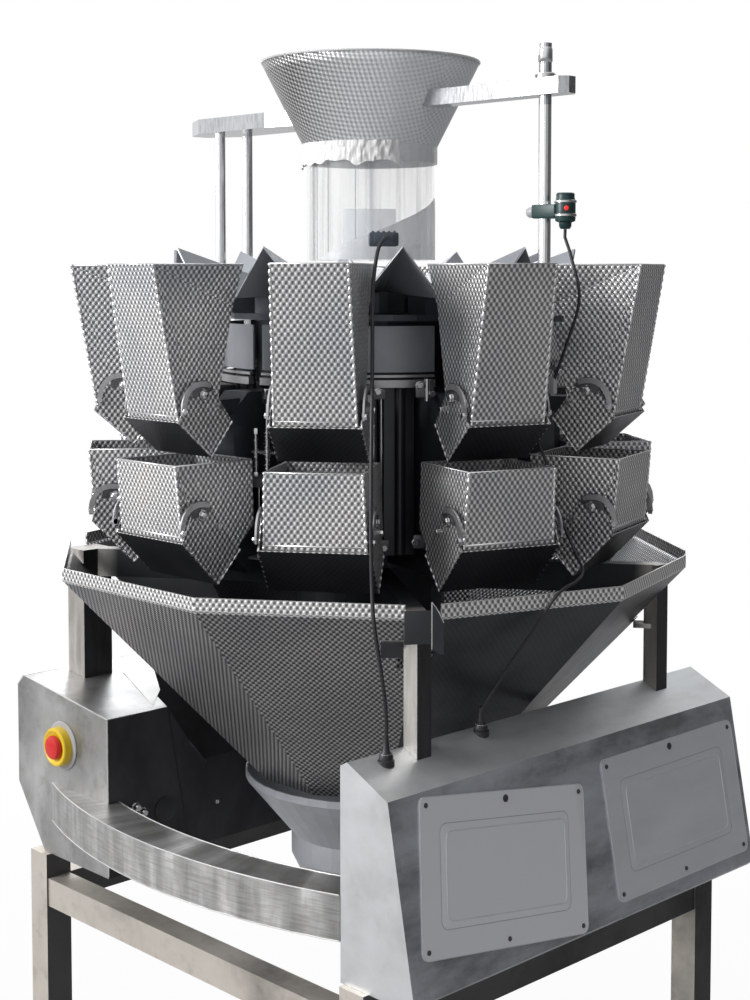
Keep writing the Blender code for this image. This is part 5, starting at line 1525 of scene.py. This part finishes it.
def cover_outline(piece, margin, corner_radius, lift, radius):
    """A thin bead round a cover, the margin inside its edge and the lift over its face."""
    path = rounded_path(
        COVER_LENGTH - 2 * margin, COVER_HEIGHT - 2 * margin, corner_radius, COVER_THICKNESS + lift
    )
    piece.tube(path, radius, 6, closed=True)


def make_cover_details():
    """Six dark screws on each cover plate; pale beads along its rim and round its raised panel's
    top as painted highlights; and a grey bead in the crease round its panel as painted shade.
    """
    for name, place in cover_places().items():
        screws = Piece(place)
        for x in (-1, 0, 1):
            for y in (-1, 1):
                centre = (
                    x * (COVER_LENGTH / 2 - SCREW_INSET), y * (COVER_HEIGHT / 2 - SCREW_INSET),
                    COVER_THICKNESS,
                )
                screws.screw(centre, UP, 0.0038 if (x, y) == (0, 1) else 0.0025, 0.0028)
        screws.make(f"cover_screws_{name}", DARK_SCREW, "chrome")
        # Painted highlights along the plate's rim and its panel's top edge.
        edges = Piece(place)
        cover_outline(edges, 0.0005, 0.012, -0.0004, 0.0008)
        cover_outline(edges, COVER_PANEL_MARGIN + 0.010, 0.012, 0.0018, 0.0010)
        edges.make(f"cover_edges_{name}", COVER_EDGE_HIGHLIGHT, "brushed_steel")
        # Painted shade in the crease at the panel's foot.
        crease = Piece(place)
        cover_outline(crease, COVER_PANEL_MARGIN - 0.001, 0.013, -0.0004, 0.0007)
        crease.make(f"cover_crease_{name}", COVER_CREASE_SHADE, "brushed_steel")


# Welds, seams and fittings of the boxes, and painted highlights along edges of the boxes and the
# arc tubes


def weld(piece, points, radius=0.0016, step=0.006):
    """A ground weld bead along an edge, slightly uneven."""
    rows = []
    radii = []
    for start, end in zip(points, points[1:]):
        start, end = Vector(start), Vector(end)
        count = max(2, round((end - start).length / step))
        for k in range(count + (end == Vector(points[-1]))):
            rows.append(start.lerp(end, k / count))
            radii.append(radius * (0.75 + 0.35 * noise.noise(rows[-1] * 90.0)))
    piece.tube(rows, radii, 6)


# On the left box's inner wall: the seam's path, glands and bolt by (y, drop), and corners of the
# pale plate that paints the bright reflection at the mouth of the chute's recess, with drops in
# place of heights
SEAM_PATH = ((-0.2925, 0.770), (-0.2570, 0.9665), (-0.2440, 1.036))
PLUG_HOLE = (-0.3005, 0.946)
PLUG_PROFILE = ((0.0, 0.0), (0.022, 0.0), (0.022, 0.0020), (0.017, 0.0035), (0.0, 0.0035))
BOX_GLANDS = ((-0.366, 0.926), (-0.352, 0.938))
BOX_GLAND_PROFILE = (
    (0.0, 0.0), (0.0085, 0.0), (0.0085, 0.005), (0.0065, 0.006), (0.0065, 0.013),
    (0.0045, 0.015), (0.0, 0.015),
)
BOX_BOLT = (-0.187, 0.957)
PALE_PLATE_CORNERS = (
    (-0.385, -0.258, 0.7420), (-0.376, -0.196, 0.7435), (-0.2785, -0.2545, 0.7560),
    (-0.2209, -0.3130, 0.7630),
)
PALE_PLATE_THICKNESS = 0.0012


def make_box_welds():
    """Ground welds along the left box's ends and crown, whose bright steel also paints the
    highlights along these edges.
    """
    welds = Piece()
    wall = (-LEFT_WALL_X, level(LEFT_WALL_TOP_DROP))
    crown = (LEFT_TOP_BEVEL - LEFT_OUTER_X, level(LEFT_OUTER_TOP_DROP))
    outer = (-LEFT_OUTER_X, level(LEFT_OUTER_TOP_DROP + LEFT_TOP_BEVEL))
    for y in (-BOX_HALF_LENGTH, BOX_HALF_LENGTH):
        path = ((wall[0], level(1.036)), wall, crown, outer)
        weld(welds, [(x, y, z) for x, z in path])
    weld(welds, [(wall[0], -0.418, wall[1]), (wall[0], -0.370, wall[1])], 0.0013)
    weld(welds, [(crown[0], -0.418, crown[1]), (crown[0], 0.418, crown[1])], 0.0009)
    welds.make("box_welds", WELD_AND_HIGHLIGHT, "brushed_steel")


def make_box_fittings():
    """Seam, plugged hole, glands and bolt on the left box's inner wall, and the pale plate that
    paints the reflection at the recess's mouth.
    """
    x = -LEFT_WALL_X
    dark = Piece()
    dark.strip([
        [
            (x - 0.0005, y - 0.0016, level(drop)), (x + 0.0012, y - 0.0010, level(drop)),
            (x + 0.0012, y + 0.0010, level(drop)), (x - 0.0005, y + 0.0016, level(drop)),
        ]
        for y, drop in SEAM_PATH
    ], closed=True, ends=True)
    dark.turned(PLUG_PROFILE, pointing_out((x, PLUG_HOLE[0], level(PLUG_HOLE[1]))), 32)
    dark.make("box_seams", CABLE_BLACK, "cable_black")
    bright = Piece()
    for y, drop in BOX_GLANDS:
        bright.turned(BOX_GLAND_PROFILE, pointing_out((x, y, level(drop))), 12)
    bright.hexagon((x, BOX_BOLT[0], level(BOX_BOLT[1])), OUTWARD, 0.008, 0.005)
    bright.make("box_fittings", BRIGHT_STEEL, "chrome")
    # Painted reflection: a thin pale plate at the mouth of the chute's recess.
    pale_plate = Piece()
    pale_plate.strip([
        [(corner_x, y, level(drop + under)) for corner_x, y, drop in PALE_PLATE_CORNERS]
        for under in (PALE_PLATE_THICKNESS, 0.0)
    ], closed=True, ends=True)
    pale_plate.make("recess_reflection", PALE_REFLECTION_LOOK, "brushed_steel")


def arc_line(radius, drop, side, x_low, x_high, centre_y, steps=60):
    points = []
    for k in range(steps + 1):
        x = x_low + (x_high - x_low) * k / steps
        points.append((x, side * (math.sqrt(radius ** 2 - x ** 2) - centre_y), level(drop)))
    return points


# Plates of the front right leg's slot, in the leg's own frame: blocks, and the flap's rows by
# (radius, y, end, top)
SLOT_BLOCKS = (
    ((0.5590, -0.030, 0.545), (0.5602, 0.010, 0.496), 0.0005),
    ((0.5470, -0.062, 0.566), (0.5485, -0.030, 0.541), 0.0005),
    ((0.5470, -0.060, 0.5425), (0.5590, 0.002, 0.5405), 0.0005),
)
FLAP_ROWS = (
    (0.5612, 0.010, 0.552, 0.484), (0.5600, 0.016, 0.556, 0.492), (0.5580, 0.022, 0.560, 0.502),
    (0.5562, 0.028, 0.562, 0.515),
)
FLAP_THICKNESS = 0.0012
EDGE_RADIUS = 0.0009


def make_slot_flaps():
    """Folded end of the chute's hem and the bracket plates in front of the front right leg, in
    near-black looks as painted shade, with a bright bead along their edges as painted highlight.
    """
    turn = Matrix.Rotation(-math.radians(LEG_ANGLE_DEG), 4, "Z")
    # Painted shade: the bracket plates in a near-black look.
    dark = Piece(turn)
    dark.blocks(SLOT_BLOCKS)
    dark.make("slot_dark", DRIVE_DARK, "dimpled_steel")
    # Painted shade: the hem's folded end in a near-black look.
    flap = Piece(turn)
    flap.strip([
        [
            (r, y, level(end)), (r, y, level(top)), (r - FLAP_THICKNESS, y, level(top)),
            (r - FLAP_THICKNESS, y, level(end)),
        ]
        for r, y, end, top in FLAP_ROWS
    ], closed=True, ends=True)
    flap.make("slot_flap", DARK_STEEL, "dimpled_steel")
    # Painted highlight along the flap's and ledge's edges.
    edge = Piece(turn)
    edge.tube([(r, y, level(top)) for r, y, end, top in FLAP_ROWS], EDGE_RADIUS, 8)
    r, y, end, top = FLAP_ROWS[0]
    edge.upright(r, y, end, top, EDGE_RADIUS, 8)
    edge.tube([(0.5488, -0.060, level(0.5410)), (0.5590, 0.002, level(0.5410))], 0.0008, 8)
    edge.make("slot_edge", WELD_AND_HIGHLIGHT, "dimpled_steel")


ARC_INNER_R = ARC_OUTER_R - ARC_WIDTH
ARC_EDGES = (
    (ARC_OUTER_R, ARC_TOP_DROP, -0.446), (ARC_OUTER_R, ARC_TOP_DROP + ARC_HEIGHT, -0.446),
    (ARC_INNER_R, ARC_TOP_DROP, -0.205),
)


def make_arc_edges():
    """Beads on the corners of the arc tubes, in bright steel that paints the highlights along them.
    """
    centre_y = math.sqrt(ARC_OUTER_R ** 2 - RIGHT_WALL_X ** 2) - ARC_SEAT_Y
    for side, name in ((-1, "front"), (1, "back")):
        piece = Piece()
        for radius, drop, low in ARC_EDGES:
            path = arc_line(radius - 0.0006, drop, side, low, RIGHT_WALL_X - 0.002, centre_y)
            piece.tube(path, 0.0011, 6)
        piece.make(f"arc_edges_{name}", WELD_AND_HIGHLIGHT, "brushed_steel")


# Profiles by radius and height over the box's end
STOP_PARTS = (
    ("stop_bezel", BEZEL_GREY, (
        (0.0, 0.0), (0.0425, 0.0), (0.043, 0.0012), (0.0415, 0.003), (0.034, 0.0034), (0.0, 0.0034),
    )),
    ("stop_ring", STOP_YELLOW, (
        (0.0, 0.003), (0.0335, 0.003), (0.0340, 0.0080), (0.0335, 0.0165), (0.0320, 0.0185),
        (0.0290, 0.0190), (0.0225, 0.0150), (0.0, 0.0145),
    )),
    ("stop_mushroom", STOP_RED, (
        (0.0, 0.0140), (0.012, 0.0140), (0.012, 0.0155), (0.0200, 0.0160), (0.0210, 0.0175),
        (0.0208, 0.0210), (0.0185, 0.0245), (0.0130, 0.0263), (0.0060, 0.0269), (0.0, 0.0270),
    )),
)


def make_stop_button():
    """Grey bezel, yellow ring and red mushroom."""
    place = Matrix.Translation((STOP_X, -BOX_HALF_LENGTH - GAP, level(STOP_DROP)))
    axis = place @ Matrix.Rotation(math.pi / 2, 4, "X")
    for name, look, profile in STOP_PARTS:
        item = lathe(name, look, "stop_plastic", profile, axis, 64)
        if name == "stop_bezel":
            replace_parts(item, "stop_button")


# Studio


def lit_share(tree, low, high):
    """Brightness of the surroundings by direction: low on the wall side, high on the open side."""
    way = tree.add("ShaderNodeTexCoord").outputs["Generated"]
    facing = tree.dot(way, Vector(OPEN_SIDE).normalized())
    share = tree.add("ShaderNodeMapRange", interpolation_type="SMOOTHSTEP")
    ends = {"From Min": WALL_FACING, "From Max": OPEN_FACING, "To Min": low, "To Max": high}
    for key, value in {"Value": facing, **ends}.items():
        tree.put(share.inputs[key], value)
    return share.outputs[0]


def make_world():
    """White to the camera and through glass; brighter on the open side for the object."""
    world = bpy.data.worlds.new("studio")
    bpy.context.scene.world = world
    tree = Tree("studio", world)
    rays = tree.add("ShaderNodeLightPath").outputs
    strength = tree.blend(
        rays["Is Glossy Ray"], lit_share(tree, *LIT_SOFT), lit_share(tree, *LIT_MIRRORED)
    )
    for ray in ("Is Transmission Ray", "Is Camera Ray"):
        strength = tree.blend(rays[ray], strength, 1.0)
    tree.set(Color=(1.0, 1.0, 1.0, 1.0), Strength=strength)


def make_floor():
    """A pale floor that fades into the white background and keeps the shadow."""
    floor = Piece()
    floor.strip([
        [(x, y, FLOOR_HEIGHT) for x in (-FLOOR_REACH, FLOOR_REACH)]
        for y in (-FLOOR_REACH, FLOOR_REACH)
    ])
    tree = Tree("studio_floor")
    soft = tree.noise(tree.place(), 1.2, 2.0)
    tree.set(Base_Color=tree.ramp(soft, [(0.0, 0.42), (1.0, 0.46)]), Roughness=0.9)
    paths = tree.add("ShaderNodeLightPath")
    white = tree.add("ShaderNodeEmission")
    white.inputs["Strength"].default_value = 1.0
    share = tree.add("ShaderNodeMixShader")
    place = tree.place()
    reach = tree.maths("SQRT", tree.dot(place, place))
    far = clamped(tree, reach, *FLOOR_FADE)
    white_share = tree.scaled(far, 1.0 - FLOOR_WHITE, FLOOR_WHITE)
    tree.put(share.inputs[0], tree.times(paths.outputs["Is Camera Ray"], white_share))
    tree.links.new(tree.shader.outputs[0], share.inputs[1])
    tree.links.new(white.outputs[0], share.inputs[2])
    tree.links.new(share.outputs[0], tree.nodes["Material Output"].inputs["Surface"])
    item = floor.make("studio_floor", tree.owner)
    item.parent = None


def make_studio():
    make_floor()
    make_world()
    for name, place, size, power, tint in LAMPS:
        lamp = bpy.data.lights.new(name, "AREA")
        lamp.shape = "SQUARE"
        lamp.size = size
        lamp.energy = power
        lamp.color = tint
        holder = bpy.data.objects.new(name, lamp)
        bpy.context.scene.collection.objects.link(holder)
        holder.location = place
        aim = Vector(LAMP_AIM) - Vector(place)
        holder.rotation_euler = aim.to_track_quat("-Z", "Y").to_euler()
    bpy.context.scene.view_settings.view_transform = "Standard"


# Looks of the CAD nodes that stay


def dress_nodes():
    looks = {
        "feed_hopper": DIMPLED, "weigh_hopper": DIMPLED, "feed_gate": DIMPLED_GATE,
        "weigh_gate": DIMPLED_GATE, "collecting_chute": DIMPLED_CHUTE, "central_body": DARK_STEEL,
        "feeder_pans": PAN_STEEL, "funnel_bracket": BRACKET_STEEL, "discharge_funnel": PAN_STEEL,
        "control_box_left": BOX_STEEL, "control_box_right": BOX_WITH_COVERS,
        "arc_tube": ARC_STEEL, "stand": STAND_STEEL, "leg_frame": LEG_STEEL,
    }
    for name, item in NODES.items():
        for start, material in looks.items():
            if name.startswith(start):
                for place in item.material_slots:
                    place.material = material


make_camera()
plug = make_connector()
make_cable("drop_cable_look", drop_cable_route(), DROP_CABLE_RADIUS, "drop_cable")
make_cable("sensor_cable_look", sensor_cable_route(), SENSOR_CABLE_RADIUS, "sensor_cable")
dress_nodes()
make_hopper_trim()
make_gate_trim()
make_levers()
make_drives()
make_funnel_bowl()
make_funnel_edges()
make_collar_film()
make_clear_tube()
make_sensor()
make_rod_top()
make_strain_reliefs()
make_cover_details()
make_box_welds()
make_box_fittings()
make_arc_edges()
make_slot_flaps()
make_wrap()
make_tag()
make_stop_button()
make_studio()
